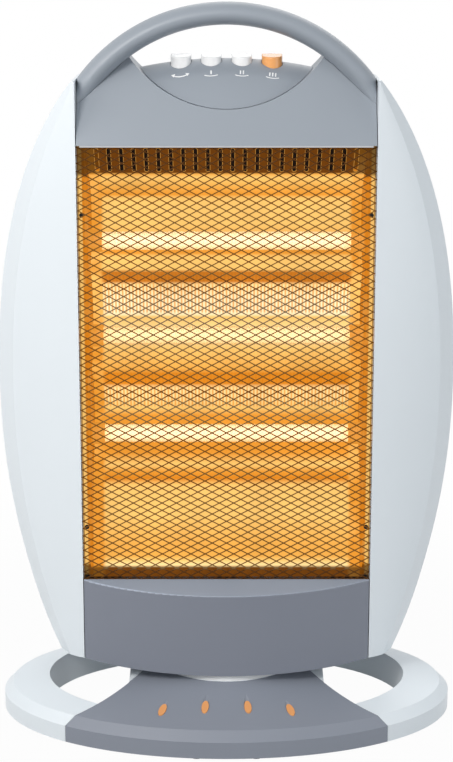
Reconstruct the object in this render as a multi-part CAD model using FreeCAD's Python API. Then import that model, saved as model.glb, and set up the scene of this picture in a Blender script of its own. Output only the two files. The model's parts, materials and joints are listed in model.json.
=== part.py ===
import FreeCAD
import Part
import os
from math import atan2, cos, degrees, hypot, pi, radians, sin, sqrt, tan

V = FreeCAD.Vector

# Oscillating quartz heater, millimetres. X to the right, front faces -Y, Z up.
# Origin on the floor, on the axis about which the heater body sweeps.

# General walls and clearances
WALL = 2.5                # moulded plastic wall of the heater body
SHEET = 1.5               # folded steel sheet
SEAM_GAP = 0.6            # visible joint line between two mouldings
FIT = 0.3                 # clearance between two fitted pieces
RUNNING = 0.05            # radial clearance of a turning or sliding fit
SCREW_R = 1.5             # thread radius of every screw
SCREW_HEAD_R = 3.0
SCREW_HEAD_H = 1.5
SCREW_FIT = 0.1           # radial clearance of a screw in its hole
SCREW_GRIP = 8.0          # length of thread inside what the screw holds
PAST = 1.0                # how far a cutting or joining block reaches past a face

# Base
BASE_A = 178.0            # half width of the oval base
BASE_B = 112.0            # half depth of the oval base
BASE_FOOT_GAP = 2.0       # rim of the base above the floor
BASE_RIM_Z = 15.0         # top of the upright rim
BASE_CHAMFER = 7.0        # sloping band above the rim
BASE_WALL = 3.0
MITRE = tan(radians(22.5))    # inner corner between an upright wall and a 45 degree slope
HOLLOW_SHOULDER_IN = 2.2  # hollow inside the shoulder, sideways and downwards
HOLLOW_SHOULDER_DOWN = 2.0
HOLLOW_BOSS_OUT = 2.1     # top of the hollow around the recess in the boss
HOLLOW_BOSS_DOWN = 3.3
BOSS_R = 58.0             # round boss that carries the turntable
BOSS_Z = 42.0
RING_SIDE_W = 36.0        # width of the oval ring at its sides
RING_FRONT_W = 19.0       # and at its front and back
HUB_MARGIN = 18.0         # hub between the two gaps, beyond the boss
FAN_INSIDE = 5.1          # centre of the arc that bounds the front insert, inside the rim
FAN_Y = 32.0
FAN_WAIST = 49.7          # half width of the front insert at its waist
FAN_BACK_Y = -15.0        # rear end of the front insert
PLATE_Z = 2.5             # underside of the bottom plate
PLATE_T = 2.0
SCREW_POST_R = 5.0
BASE_POST_ANGLES = (10, 60, 120, 170, 217, 323)
INSERT_POST_ANGLES = (252, 288)
FOOT_R = 6.0
FOOT_ANGLES = (36, 144, 229, 311, 262, 278)
GLAND_R = 3.6
GLAND_Z = 9.1
GLAND_BORE_R = 2.8
GLAND_FLANGE_R = 4.4
GLAND_FLANGE_T = 2.0

# Indicator lenses in the front insert
LENS_X = (-48.8, -16.3, 16.3, 48.8)
LENS_INSET = 29.0         # lenses behind the front of the rim
LENS_FAN_Y = 66.0         # the lenses point away from this place on the centre line
LENS_HALF_W = 2.75
LENS_LENGTH = 11.5
LENS_PROUD = 0.7
LENS_BOTTOM_Z = 25.0
GROOVE_R = 3.0
GROOVE_LENGTH = 14.0
GROOVE_DEPTH = 1.9
LAMP_R = 2.2
LAMP_BOARD_Z = 17.0
LAMP_BOARD_T = 1.6
LAMP_BOARD_HALF_DEPTH = 8.0
LAMP_BOARD_MARGIN = 9.0

# Turntable, pivot and sweep drive
CUP_R = 52.0              # recess in the boss
CUP_FLOOR_Z = 34.0
CUP_FLOOR_T = 3.0
PIVOT_R = 10.0
PIVOT_BORE_R = 6.0
PIVOT_END_Z = 20.0
SLEEVE_R = 13.0
SLEEVE_TOP_Z = 36.0
WASHER_R = 13.5
WASHER_T = 2.0
WASHER_SCREWS = 3
WASHER_SCREW_R = 1.0
WASHER_SCREW_CIRCLE_R = 8.0
TURNTABLE_INNER_R = 53.0
TURNTABLE_OUTER_R = 57.5
CRANK_Y = 30.5            # motor shaft, behind the pivot
CRANK_THROW = 15.25
CRANK_HUB_R = 6.0
CRANK_Z = 35.0
CRANK_T = 4.5
CRANK_PIN_R = 3.0
CRANK_PIN_H = 6.0
SHAFT_R = 3.5
SHAFT_DEPTH = 8.0
SHAFT_HOLE_R = 4.7        # hole in the boss around the motor shaft
YOKE_SLOT_CLEARANCE = 1.2
YOKE_RIB = 3.0
YOKE_INNER_Y = 26.0
YOKE_OUTER_Y = 50.4
YOKE_Z = 40.2
MOTOR_R = 25.0
MOTOR_H = 16.0
MOTOR_OFFSET = 10.0       # shaft stands off the motor's centre
MOTOR_EAR_X = 29.5
MOTOR_EAR_R = 5.0
MOTOR_EAR_T = 1.5

# Tip-over switch and terminal block on the bottom plate
TIP_X = -45.0
TIP_INSET = 34.0          # in front of the rear of the rim
TIP_W = 22.0
TIP_D = 14.0
TIP_H = 12.0
PLUNGER_R = 3.0
PLUNGER_PAD_R = 6.0
PLUNGER_PAD_T = 1.5
PLUNGER_TRAVEL = 6.0
PLUNGER_HOLD = 2.0        # length of plunger that stays inside the switch
TERMINAL_X = 45.0
TERMINAL_INSET = 32.0
TERMINAL_W = 34.0
TERMINAL_D = 14.0
TERMINAL_H = 12.0
TERMINAL_WAYS = 3
TERMINAL_HOLE_R = 2.0

# Heater body outline, seen from the front
BODY_HALF = 180.0         # half width at the widest height
BODY_WIDEST_Z = 260.0
BODY_RISE_POWER = 2.2
BODY_FLOOR_Z = 47.0
SEAM_X = 112.0            # joint between side panels and middle
FRONT_Y = -22.0           # front edge of the side panels
BACK_Y = 50.0
PANEL_TIP_W = 2.4         # width of a side panel at its upper tip
PANEL_TIP_RISE = 48.9     # that tip above the deck
PANEL_FOOT_W = 19.6       # and at the body floor
PANEL_FLANGE = 14.0
PANEL_FRONT_FALL = 34.1   # at the widest height the front falls back this far to the crease
PANEL_EDGE_FALL = 22.8    # and the band beside the outline this far
PANEL_EDGE_W = 18.0
PANEL_EDGE_SOFT = 25.0
PANEL_BULGE = 0.037       # crown of the front as a share of its width
PANEL_TUCK = 4.0
PANEL_THIN = 0.15         # wall near the tip as a share of the width there
PANEL_STATIONS = 12
PANEL_CAP = 1.2           # plate that closes the tip
FLOOR_T = 3.0

# Middle of the body
LOWER_PANEL_TOP_Z = 112.0
LOWER_PANEL_BOW = 38.0
LOWER_PANEL_BACK = 13.0
LEDGE_ROUND = 1.0         # front edge of the panel's top
DECK_Z = 450.0
CHASSIS_INSET = 5.5       # chassis plates inside the joint of the side panels
CHASSIS_FLANGE_W = 9.5
CHASSIS_REAR_FLANGE_W = 11.5    # reaches inwards for the rear screws
REAR_FLANGE = 8.0
REAR_VENT_ROWS = 16
REAR_VENT_COLUMNS = 2
REAR_VENT_H = 4.5
REAR_VENT_SIDE = 29.7     # plain strip beside the vents
REAR_VENT_GAP = 20.0      # and between two columns of them
REAR_VENT_BELOW = 79.0    # plain height under the vents
REAR_VENT_ABOVE = 36.0    # and over them
REAR_SCREW_INSET = 5.5    # rear screws inside the chassis plates
REAR_SCREW_POST_R = 3.5
REAR_SCREW_END = 26.0     # first and last rear screw from the ends of the rear cover

# Top cover, handle and control panel; rises are above the deck
COVER_FRONT_Y = -24.0
COVER_LEAN = 28.5
COVER_RISE = 62.5
COVER_REAR_CHAMFER = 12.0
COVER_REAR_PROUD = 4.5    # the cover behind the handle stands above its middle line
HANDLE_OUT = 19.5         # radius of the handle's middle line, beyond the joint of the side panels
HANDLE_RISE = 95.4        # highest place of that line
HANDLE_THICK = 17.0
HANDLE_DEPTH = 30.0
HANDLE_Y = 7.0
HANDLE_FIT = 0.25
HANDLE_SPREAD = 75.0      # half angle of the arch before its ends are cut flat
SCOOP_R = 90.0
SCOOP_RISE = 25.5         # bottom of the scoop
PANEL_STEP = 1.5          # control panel below the cover's face at the foot of the scoop
PANEL_LEAN = 35.0
CREST_RISE = 64.1         # where the sloping face and the top would meet
CREST_R = 330.0           # arc of the crest, seen from the front
CREST_ROUND_R = 28.0      # rounding from the face to the top
CREST_FALL = 6.0
CREST_SPREAD = 24.0       # half angle of that arc
CONTROL_BACK_Y = 46.0
KEY_X = (-34.5, -11.5, 11.5, 34.5)
KEY_HALF_W = 7.75
KEY_Y = 23.0
KEY_BACK = 7.0
KEY_RISE = 63.3           # top of the keys
KEY_LENGTH = 18.6
KEY_TOP_TILT = 8.0
KEY_TRAVEL = 4.0
KEY_FIT = 0.4
KEY_EDGE_R = 0.9
STEM_R = 2.5
STEM_LENGTH = 14.0
SWITCH_HALF_W = 8.0
SWITCH_HALF_D = 10.0
SWITCH_H = 17.5
BRACKET_HALF = 48.0
BRACKET_HALF_D = 12.0
CUTOUT_R = 7.5
CUTOUT_H = 6.0
CUTOUT_X = -70.0
CUTOUT_Y = 20.0

# Reflector, tubes and guard
TUBE_SHARES = (0.7802, 0.5607, 0.3293)    # heights of the tubes as shares of the window's height
TUBE_Y = 7.0
TUBE_R = 7.0
TUBE_WALL = 1.0
TUBE_END_GAP = 5.5        # end of a tube to the chassis plate
CAP_R = 8.6
CAP_LENGTH = 11.5
CAP_FIT = 0.2
FILAMENT_R = 3.6          # outside of the wound coil
RIDGE_SHARES = (0.9346, 0.7160, 0.4852, 0.2544)    # and of the reflector's ridges
RIDGE_Y = 3.0
TROUGH_Y = 27.0
REFLECTOR_T = 1.5
REFLECTOR_TOP_Y = -15.0
REFLECTOR_LIP_Y = -14.0
REFLECTOR_LIP_H = 9.0
SLOT_COUNT = 22
SLOT_W = 3.2
SLOT_SIDE = 2.2           # plain strip beside the slots
SLOT_HEAD = 1.4           # sheet left above the slots
SLOT_FOOT = 1.5           # and between them and the first ridge
END_PLATE_T = 2.0
END_PLATE_FRONT_Y = -15.0
END_PLATE_BACK_Y = 31.0
GUARD_Y = -20.5
GUARD_T = 0.8
GUARD_SIDE_GAP = 0.5      # guard inside the joint of the side panels
GUARD_BORDER = 3.0
GUARD_COLUMNS = 7
GUARD_ROWS = 20
GUARD_STRAND = 1.4


def box(x0, x1, y0, y1, z0, z1):
    return Part.makeBox(x1 - x0, y1 - y0, z1 - z0, V(x0, y0, z0))


def post(x, y, z0, z1, r):
    return Part.makeCylinder(r, z1 - z0, V(x, y, z0))


def bar_y(x, z, y0, y1, r):
    return Part.makeCylinder(r, y1 - y0, V(x, y0, z), V(0, 1, 0))


def bar_x(x0, x1, y, z, r):
    return Part.makeCylinder(r, x1 - x0, V(x0, y, z), V(1, 0, 0))


def mirrored(shape):
    return shape.mirror(V(0, 0, 0), V(1, 0, 0))


def fused(shapes):
    shapes = list(shapes)
    if len(shapes) == 1:
        return shapes[0]
    return shapes[0].multiFuse(shapes[1:]).removeSplitter()


def prism_z(points, z0, z1):
    corners = [V(x, y, z0) for x, y in points]
    face = Part.Face(Part.makePolygon(corners + corners[:1]))
    return face.extrude(V(0, 0, z1 - z0))


def prism_x(points, x0, x1):
    corners = [V(x0, y, z) for y, z in points]
    face = Part.Face(Part.makePolygon(corners + corners[:1]))
    return face.extrude(V(x1 - x0, 0, 0))


def oval(a, b, z):
    return Part.Wire([Part.Ellipse(V(0, 0, z), a, b).toShape()])


def oval_prism(a, b, z0, z1):
    return Part.Face(oval(a, b, z0)).extrude(V(0, 0, z1 - z0))


def round_wire(r, z):
    return Part.Wire([Part.Circle(V(0, 0, z), V(0, 0, 1), r).toShape()])


def save(name, shape):
    solids = shape.Solids
    result = solids[0] if len(solids) == 1 else Part.makeCompound(solids)
    result.exportStep("parts/" + name + ".step")


# Base

SHOULDER_Z = BASE_RIM_Z + BASE_CHAMFER
RING_INNER_A = BASE_A - RING_SIDE_W
RING_INNER_B = BASE_B - RING_FRONT_W
HUB_HALF = BOSS_R + HUB_MARGIN
FAN_X = BASE_A - FAN_INSIDE
FAN_R = FAN_X - FAN_WAIST
LENS_Y = LENS_INSET - BASE_B
TIP_Y = BASE_B - TIP_INSET
TERMINAL_Y = BASE_B - TERMINAL_INSET
BASE_MID_A = (BASE_A + RING_INNER_A) / 2
BASE_MID_B = (BASE_B + RING_INNER_B) / 2
PLATE_TOP_Z = PLATE_Z + PLATE_T
PLUNGER_TOP_Z = PLATE_TOP_Z + PLUNGER_TRAVEL + PLUNGER_HOLD
HIGH = BOSS_Z + BASE_RIM_Z
LOW = -BASE_RIM_Z


def on_ring(angle):
    turn = radians(angle)
    return BASE_MID_A * cos(turn), BASE_MID_B * sin(turn)


def base_block(raised=0.0):
    bottom = oval(BASE_A, BASE_B, BASE_FOOT_GAP + raised)
    rim = oval(BASE_A, BASE_B, BASE_RIM_Z + raised)
    shoulder = oval(BASE_A - BASE_CHAMFER, BASE_B - BASE_CHAMFER, SHOULDER_Z + raised)
    boss = round_wire(BOSS_R, BOSS_Z + raised)
    return Part.makeLoft([bottom, rim, shoulder, boss], True, True)


def base_cavity():
    wall = BASE_WALL
    bottom = oval(BASE_A - wall, BASE_B - wall, 0)
    rim = oval(BASE_A - wall, BASE_B - wall, BASE_RIM_Z - MITRE * wall)
    inset = BASE_CHAMFER + HOLLOW_SHOULDER_IN
    shoulder = oval(BASE_A - inset, BASE_B - inset, SHOULDER_Z - HOLLOW_SHOULDER_DOWN)
    boss = round_wire(CUP_R + HOLLOW_BOSS_OUT, BOSS_Z - HOLLOW_BOSS_DOWN)
    return Part.makeLoft([bottom, rim, shoulder, boss], True, True)


def side_gaps(grow, z0, z1):
    inside = oval_prism(RING_INNER_A + grow, RING_INNER_B + grow, z0, z1)
    arc = post(FAN_X, FAN_Y, z0, z1, FAN_R + grow)
    beyond_hub = box(HUB_HALF - grow, BASE_A, -BASE_B, BASE_B, z0, z1)
    right = inside.common(arc).common(beyond_hub)
    return [right, mirrored(right)]


def fan(clearance):
    region = box(-BASE_A, BASE_A, -BASE_B - PAST, FAN_BACK_Y + clearance, LOW, HIGH)
    for x in (FAN_X, -FAN_X):
        region = region.cut(post(x, FAN_Y, LOW, HIGH, FAN_R - clearance))
    return region.cut(post(0, 0, LOW, HIGH, BOSS_R + FIT - clearance))


QUARTER = 90.0


def lens_direction(x):
    reach = LENS_FAN_Y - LENS_Y
    return degrees(atan2(x, reach))


def lens_prism(x, grow, z0, z1):
    shape = oval_prism(LENS_LENGTH / 2 + grow, LENS_HALF_W + grow, z0, z1)
    shape.rotate(V(0, 0, 0), V(0, 0, 1), QUARTER + lens_direction(x))
    shape.translate(V(x, LENS_Y, 0))
    return shape


def lens_groove(x):
    slope = degrees(atan2(BOSS_Z - SHOULDER_Z, BASE_B - BASE_CHAMFER - BOSS_R))
    shape = Part.makeCone(GROOVE_R, GROOVE_R / 3, GROOVE_LENGTH, V(0, 0, 0), V(0, 1, 0))
    shape.translate(V(0, LENS_HALF_W, GROOVE_R - GROOVE_DEPTH))
    shape.rotate(V(0, 0, 0), V(1, 0, 0), slope)
    shape.rotate(V(0, 0, 0), V(0, 0, 1), lens_direction(x))
    shape.translate(V(x, LENS_Y, lens_top_z(x)))
    return shape


def lens_top_z(x):
    """Height of the insert at a lens: its top face is ruled between an oval and a circle."""
    probe = post(x, LENS_Y, LOW, HIGH, LENS_HALF_W / 10).common(base_block())
    return max(vertex.Z for vertex in probe.Vertexes)


MOTOR_TOP_Z = CUP_FLOOR_Z - CUP_FLOOR_T
MOTOR_Y = CRANK_Y + MOTOR_OFFSET
SLEEVE_BOTTOM_Z = PIVOT_END_Z + FIT
GLAND_OUT_Y = BASE_B - FIT


def screw(x, y, head_z, length, r, head_r, head_h):
    """Upward screw: its head hangs below head_z."""
    head = post(x, y, head_z - head_h, head_z, head_r)
    thread = post(x, y, head_z - head_h / 2, head_z + length, r)
    return head.fuse(thread).removeSplitter()


def base_shell_and_insert():
    posts = []
    holes = []
    for angle in BASE_POST_ANGLES + INSERT_POST_ANGLES:
        x, y = on_ring(angle)
        posts.append(post(x, y, PLATE_TOP_Z, BOSS_Z, SCREW_POST_R))
        holes.append(post(x, y, LOW, PLATE_TOP_Z + SCREW_GRIP + PAST, SCREW_R + SCREW_FIT))
    cup = post(0, 0, CUP_FLOOR_Z - CUP_FLOOR_T, BOSS_Z, CUP_R + BASE_WALL)
    sleeve = post(0, 0, SLEEVE_BOTTOM_Z, BOSS_Z, SLEEVE_R)
    cavity = base_cavity().cut(side_gaps(BASE_WALL, LOW, HIGH) + posts + [cup, sleeve])

    recess = post(0, 0, CUP_FLOOR_Z, HIGH, CUP_R).cut(post(0, 0, LOW, SLEEVE_TOP_Z, SLEEVE_R))
    bore = post(0, 0, LOW, HIGH, PIVOT_R + RUNNING)
    shaft_hole = post(0, CRANK_Y, LOW, HIGH, SHAFT_HOLE_R)
    gland_hole = bar_y(0, GLAND_Z, BASE_B / 2, BASE_B + PAST, GLAND_R + FIT)
    for side in (-1, 1):
        ear_x = side * MOTOR_EAR_X
        holes.append(post(ear_x, MOTOR_Y, MOTOR_TOP_Z, CUP_FLOOR_Z, SCREW_R + SCREW_FIT))
    cuts = side_gaps(0, LOW, HIGH) + holes + [recess, bore, shaft_hole, gland_hole]
    shell = base_block().cut([cavity]).cut(cuts)

    base = shell.cut(fan(FIT))
    insert = shell.common(fan(0)).cut([lens_prism(x, SCREW_FIT, LOW, HIGH) for x in LENS_X])
    for x in LENS_X:
        insert = insert.cut(lens_groove(x))
    return base, insert


def indicator_lenses():
    raised = base_block(LENS_PROUD)
    return [lens_prism(x, 0, LENS_BOTTOM_Z, HIGH).common(raised) for x in LENS_X]


def lamp_board():
    half = max(LENS_X) + LAMP_BOARD_MARGIN
    y0 = LENS_Y - LAMP_BOARD_HALF_DEPTH
    y1 = LENS_Y + LAMP_BOARD_HALF_DEPTH
    board = box(-half, half, y0, y1, LAMP_BOARD_Z, LAMP_BOARD_Z + LAMP_BOARD_T)
    legs = [post(x, LENS_Y, PLATE_TOP_Z, LAMP_BOARD_Z, SCREW_R * 2) for x in (-half / 2, half / 2)]
    return fused([board] + legs)


def indicator_lamps():
    top = LAMP_BOARD_Z + LAMP_BOARD_T
    return [post(x, LENS_Y, top, LENS_BOTTOM_Z, LAMP_R) for x in LENS_X]


def base_bottom_plate():
    inset = BASE_WALL + FIT
    plate = oval_prism(BASE_A - inset, BASE_B - inset, PLATE_Z, PLATE_TOP_Z)
    cuts = side_gaps(inset, LOW, HIGH)
    for angle in BASE_POST_ANGLES + INSERT_POST_ANGLES:
        x, y = on_ring(angle)
        cuts.append(post(x, y, LOW, HIGH, SCREW_R + SCREW_FIT))
    cuts.append(post(TIP_X, TIP_Y, LOW, HIGH, PLUNGER_R + RUNNING))
    for x in (-FAN_X, FAN_X):
        edge = post(x, FAN_Y, LOW, HIGH, FAN_R + inset)
        edge = edge.common(box(-BASE_A, BASE_A, -BASE_B, 0, LOW, HIGH))
        cuts.append(edge.common(oval_prism(RING_INNER_A + inset, RING_INNER_B + inset, LOW, HIGH)))
    return plate.cut(cuts)


def base_screws():
    shapes = []
    for angle in BASE_POST_ANGLES + INSERT_POST_ANGLES:
        x, y = on_ring(angle)
        length = PLATE_T + SCREW_GRIP
        shapes.append(screw(x, y, PLATE_Z, length, SCREW_R, SCREW_HEAD_R, SCREW_HEAD_H))
    return shapes


def rubber_feet():
    return [post(*on_ring(angle), 0, PLATE_Z, FOOT_R) for angle in FOOT_ANGLES]


def cord_inlet_gland():
    inside_y = BASE_B - BASE_WALL - 2 * FIT
    body = bar_y(0, GLAND_Z, inside_y - GLAND_FLANGE_T, GLAND_OUT_Y, GLAND_R)
    flange = bar_y(0, GLAND_Z, inside_y - GLAND_FLANGE_T, inside_y, GLAND_FLANGE_R)
    bore = bar_y(0, GLAND_Z, 0, BASE_B, GLAND_BORE_R)
    return body.fuse(flange).removeSplitter().cut(bore)


def oscillation_motor():
    can = post(0, MOTOR_Y, MOTOR_TOP_Z - MOTOR_H, MOTOR_TOP_Z, MOTOR_R)
    ear_z = MOTOR_TOP_Z - MOTOR_EAR_T
    ears = [post(x, MOTOR_Y, ear_z, MOTOR_TOP_Z, MOTOR_EAR_R) for x in (-MOTOR_EAR_X, MOTOR_EAR_X)]
    web = box(-MOTOR_EAR_X, MOTOR_EAR_X, MOTOR_Y - MOTOR_EAR_R, MOTOR_Y + MOTOR_EAR_R, ear_z, MOTOR_TOP_Z)
    body = fused([can, web] + ears)
    cuts = [post(0, CRANK_Y, MOTOR_TOP_Z - SHAFT_DEPTH, HIGH, SHAFT_R + RUNNING)]
    for x in (-MOTOR_EAR_X, MOTOR_EAR_X):
        cuts.append(post(x, MOTOR_Y, LOW, HIGH, SCREW_R + SCREW_FIT))
    return body.cut(cuts)


def motor_screws():
    ear_z = MOTOR_TOP_Z - MOTOR_EAR_T
    length = MOTOR_EAR_T + CUP_FLOOR_T - FIT
    shapes = []
    for x in (-MOTOR_EAR_X, MOTOR_EAR_X):
        shapes.append(screw(x, MOTOR_Y, ear_z, length, SCREW_R, SCREW_HEAD_R, SCREW_HEAD_H))
    return shapes


def turntable_ring():
    outer = post(0, 0, BOSS_Z, BODY_FLOOR_Z, TURNTABLE_OUTER_R)
    return outer.cut(post(0, 0, LOW, HIGH, TURNTABLE_INNER_R))


def drive_crank():
    pin_y = CRANK_Y + CRANK_THROW
    end_r = CRANK_PIN_R + SHEET
    top = CRANK_Z + CRANK_T
    hub = post(0, CRANK_Y, CRANK_Z, top, CRANK_HUB_R)
    end = post(0, pin_y, CRANK_Z, top, end_r)
    arm = box(-end_r, end_r, CRANK_Y, pin_y, CRANK_Z, top)
    pin = post(0, pin_y, CRANK_Z, top + CRANK_PIN_H, CRANK_PIN_R)
    shaft = post(0, CRANK_Y, MOTOR_TOP_Z - SHAFT_DEPTH + FIT, top, SHAFT_R)
    return fused([hub, end, arm, pin, shaft])


def sweep_yoke():
    slot = CRANK_PIN_R + YOKE_SLOT_CLEARANCE
    outer = box(-slot - YOKE_RIB, slot + YOKE_RIB, YOKE_INNER_Y, YOKE_OUTER_Y, YOKE_Z, BODY_FLOOR_Z)
    return outer.cut(box(-slot, slot, YOKE_INNER_Y + YOKE_RIB / 2, HIGH, LOW, BODY_FLOOR_Z))


def retaining_washer():
    plate = post(0, 0, PIVOT_END_Z - WASHER_T, PIVOT_END_Z, WASHER_R)
    cuts = [post(0, 0, LOW, HIGH, PIVOT_BORE_R)]
    for x, y in washer_screw_places():
        cuts.append(post(x, y, LOW, HIGH, WASHER_SCREW_R + SCREW_FIT))
    return plate.cut(cuts)


def washer_screw_places():
    turns = [2 * pi * i / WASHER_SCREWS for i in range(WASHER_SCREWS)]
    return [(WASHER_SCREW_CIRCLE_R * sin(t), WASHER_SCREW_CIRCLE_R * cos(t)) for t in turns]


def retaining_screws():
    head_z = PIVOT_END_Z - WASHER_T
    length = WASHER_T + SCREW_GRIP - FIT
    head_r = 2 * WASHER_SCREW_R
    return [screw(x, y, head_z, length, WASHER_SCREW_R, head_r, WASHER_SCREW_R)
            for x, y in washer_screw_places()]


def tip_over_switch():
    body = box(TIP_X - TIP_W / 2, TIP_X + TIP_W / 2, TIP_Y - TIP_D / 2, TIP_Y + TIP_D / 2,
               PLATE_TOP_Z, PLATE_TOP_Z + TIP_H)
    return body.cut(post(TIP_X, TIP_Y, LOW, PLUNGER_TOP_Z + PAST, PLUNGER_R + RUNNING))


def tip_over_plunger():
    pad = post(TIP_X, TIP_Y, 0, PLUNGER_PAD_T, PLUNGER_PAD_R)
    rod = post(TIP_X, TIP_Y, 0, PLUNGER_TOP_Z, PLUNGER_R)
    return pad.fuse(rod).removeSplitter()


def terminal_block():
    y0 = TERMINAL_Y - TERMINAL_D / 2
    y1 = TERMINAL_Y + TERMINAL_D / 2
    top = PLATE_TOP_Z + TERMINAL_H
    body = box(TERMINAL_X - TERMINAL_W / 2, TERMINAL_X + TERMINAL_W / 2, y0, y1, PLATE_TOP_Z, top)
    cuts = []
    pitch = TERMINAL_W / TERMINAL_WAYS
    for way in range(TERMINAL_WAYS):
        x = TERMINAL_X + (way - (TERMINAL_WAYS - 1) / 2) * pitch
        cuts.append(bar_y(x, PLATE_TOP_Z + TERMINAL_H / 3, y0 - PAST, y1 + PAST, TERMINAL_HOLE_R))
        cuts.append(post(x, TERMINAL_Y, top - TERMINAL_H / 3, top + PAST, TERMINAL_HOLE_R))
    return body.cut(cuts)


# Heater body outline and side panels

MIDDLE_HALF = SEAM_X - SEAM_GAP / 2
PANEL_X = SEAM_X + SEAM_GAP / 2
TIP_SHARE = (PANEL_X + PANEL_TIP_W) / BODY_HALF
PANEL_TOP_Z = DECK_Z + PANEL_TIP_RISE
BODY_RISE = (PANEL_TOP_Z - BODY_WIDEST_Z) / (1 - TIP_SHARE ** BODY_RISE_POWER) ** (1 / BODY_RISE_POWER)
FOOT_SHARE = (PANEL_X + PANEL_FOOT_W) / BODY_HALF
BODY_DROP = (BODY_WIDEST_Z - BODY_FLOOR_Z) / sqrt(1 - FOOT_SHARE ** 2)


def half_width(z):
    """Half width of the outline; the lower oval is cut off at the body floor."""
    if z >= BODY_WIDEST_Z:
        share = ((z - BODY_WIDEST_Z) / BODY_RISE) ** BODY_RISE_POWER
        return BODY_HALF * (1 - share) ** (1 / BODY_RISE_POWER)
    return BODY_HALF * sqrt(1 - ((BODY_WIDEST_Z - z) / BODY_DROP) ** 2)


def offset_left(points, distance):
    """Mitred copy of an open run of points, at a distance to the left of its direction."""
    runs = []
    for (x0, y0), (x1, y1) in zip(points, points[1:]):
        length = hypot(x1 - x0, y1 - y0)
        ux = (x1 - x0) / length
        uy = (y1 - y0) / length
        runs.append((x0 - uy * distance, y0 + ux * distance, ux, uy, length))
    result = [runs[0][:2]]
    for (ax, ay, aux, auy, _), (bx, by, bux, buy, _) in zip(runs, runs[1:]):
        along = ((bx - ax) * buy - (by - ay) * bux) / (aux * buy - auy * bux)
        result.append((ax + aux * along, ay + auy * along))
    x, y, ux, uy, length = runs[-1]
    result.append((x + ux * length, y + uy * length))
    return result


def edge_band(width):
    return PANEL_EDGE_W * width / (width + PANEL_EDGE_SOFT)


def panel_outer(z):
    edge = half_width(z)
    width = edge - PANEL_X
    band = edge_band(width)
    widest = BODY_HALF - PANEL_X
    crease_y = FRONT_Y + PANEL_FRONT_FALL * (width - band) / (widest - edge_band(widest))
    edge_y = crease_y + PANEL_EDGE_FALL * band / edge_band(widest)
    tuck = PANEL_TUCK * width / (width + PANEL_EDGE_SOFT)
    return [(PANEL_X, FRONT_Y + PANEL_FLANGE), (PANEL_X, FRONT_Y), (edge - band, crease_y),
            (edge, edge_y), (edge - tuck, BACK_Y), (PANEL_X, BACK_Y), (PANEL_X, BACK_Y - PANEL_FLANGE)]


def panel_wall(z):
    return min(WALL, PANEL_THIN * (half_width(z) - PANEL_X))


def crowned_edge(start, end, z, crown):
    dx = end[0] - start[0]
    dy = end[1] - start[1]
    middle = V((start[0] + end[0]) / 2 + dy * crown, (start[1] + end[1]) / 2 - dx * crown, z)
    return Part.Arc(V(*start, z), middle, V(*end, z)).toShape()


FRONT_RUN = 1    # run of the panel's outline that is its crowned front


def panel_section(z):
    outer = panel_outer(z)
    inner = offset_left(outer, panel_wall(z))
    edges = []
    for i, (start, end) in enumerate(zip(outer, outer[1:])):
        if i == FRONT_RUN:
            edges.append(crowned_edge(start, end, z, PANEL_BULGE))
        else:
            edges.append(Part.LineSegment(V(*start, z), V(*end, z)).toShape())
    edges.append(Part.LineSegment(V(*outer[-1], z), V(*inner[-1], z)).toShape())
    for i, (start, end) in reversed(list(enumerate(zip(inner, inner[1:])))):
        if i == FRONT_RUN:
            edges.append(crowned_edge(end, start, z, -PANEL_BULGE))
        else:
            edges.append(Part.LineSegment(V(*end, z), V(*start, z)).toShape())
    edges.append(Part.LineSegment(V(*inner[0], z), V(*outer[0], z)).toShape())
    return Part.Wire(edges)


def right_side_panel():
    height = PANEL_TOP_Z - BODY_FLOOR_Z
    turns = [pi / 2 * i / PANEL_STATIONS for i in range(PANEL_STATIONS + 1)]
    sections = [panel_section(BODY_FLOOR_Z + height * sin(t)) for t in turns]
    tip = prism_z(panel_outer(PANEL_TOP_Z), PANEL_TOP_Z - PANEL_CAP, PANEL_TOP_Z)
    return Part.makeLoft(sections, True, False).fuse(tip)


# Middle of the heater body

FLOOR_TOP_Z = BODY_FLOOR_Z + FLOOR_T
CHASSIS_X = SEAM_X - CHASSIS_INSET
CHASSIS_FLANGE_X = CHASSIS_X + CHASSIS_FLANGE_W
CHASSIS_INNER_X = CHASSIS_X - CHASSIS_REAR_FLANGE_W
REAR_SCREW_X = CHASSIS_X - REAR_SCREW_INSET
REAR_VENT_W = (2 * (MIDDLE_HALF - REAR_VENT_SIDE) + REAR_VENT_GAP) / REAR_VENT_COLUMNS - REAR_VENT_GAP
REAR_VENT_PITCH_X = REAR_VENT_W + REAR_VENT_GAP
REAR_VENT_LOW_Z = BODY_FLOOR_Z + REAR_VENT_BELOW
REAR_VENT_PITCH_Z = (DECK_Z - REAR_VENT_ABOVE - REAR_VENT_LOW_Z) / REAR_VENT_ROWS
REAR_SCREW_Z = (BODY_FLOOR_Z + REAR_SCREW_END, (BODY_FLOOR_Z + DECK_Z) / 2, DECK_Z - REAR_SCREW_END)
PANEL_MOUNT_FRONT_Y = FRONT_Y + PANEL_FLANGE
PANEL_MOUNT_BACK_Y = BACK_Y - PANEL_FLANGE
DECK_TOP_Z = DECK_Z + SHEET


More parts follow.
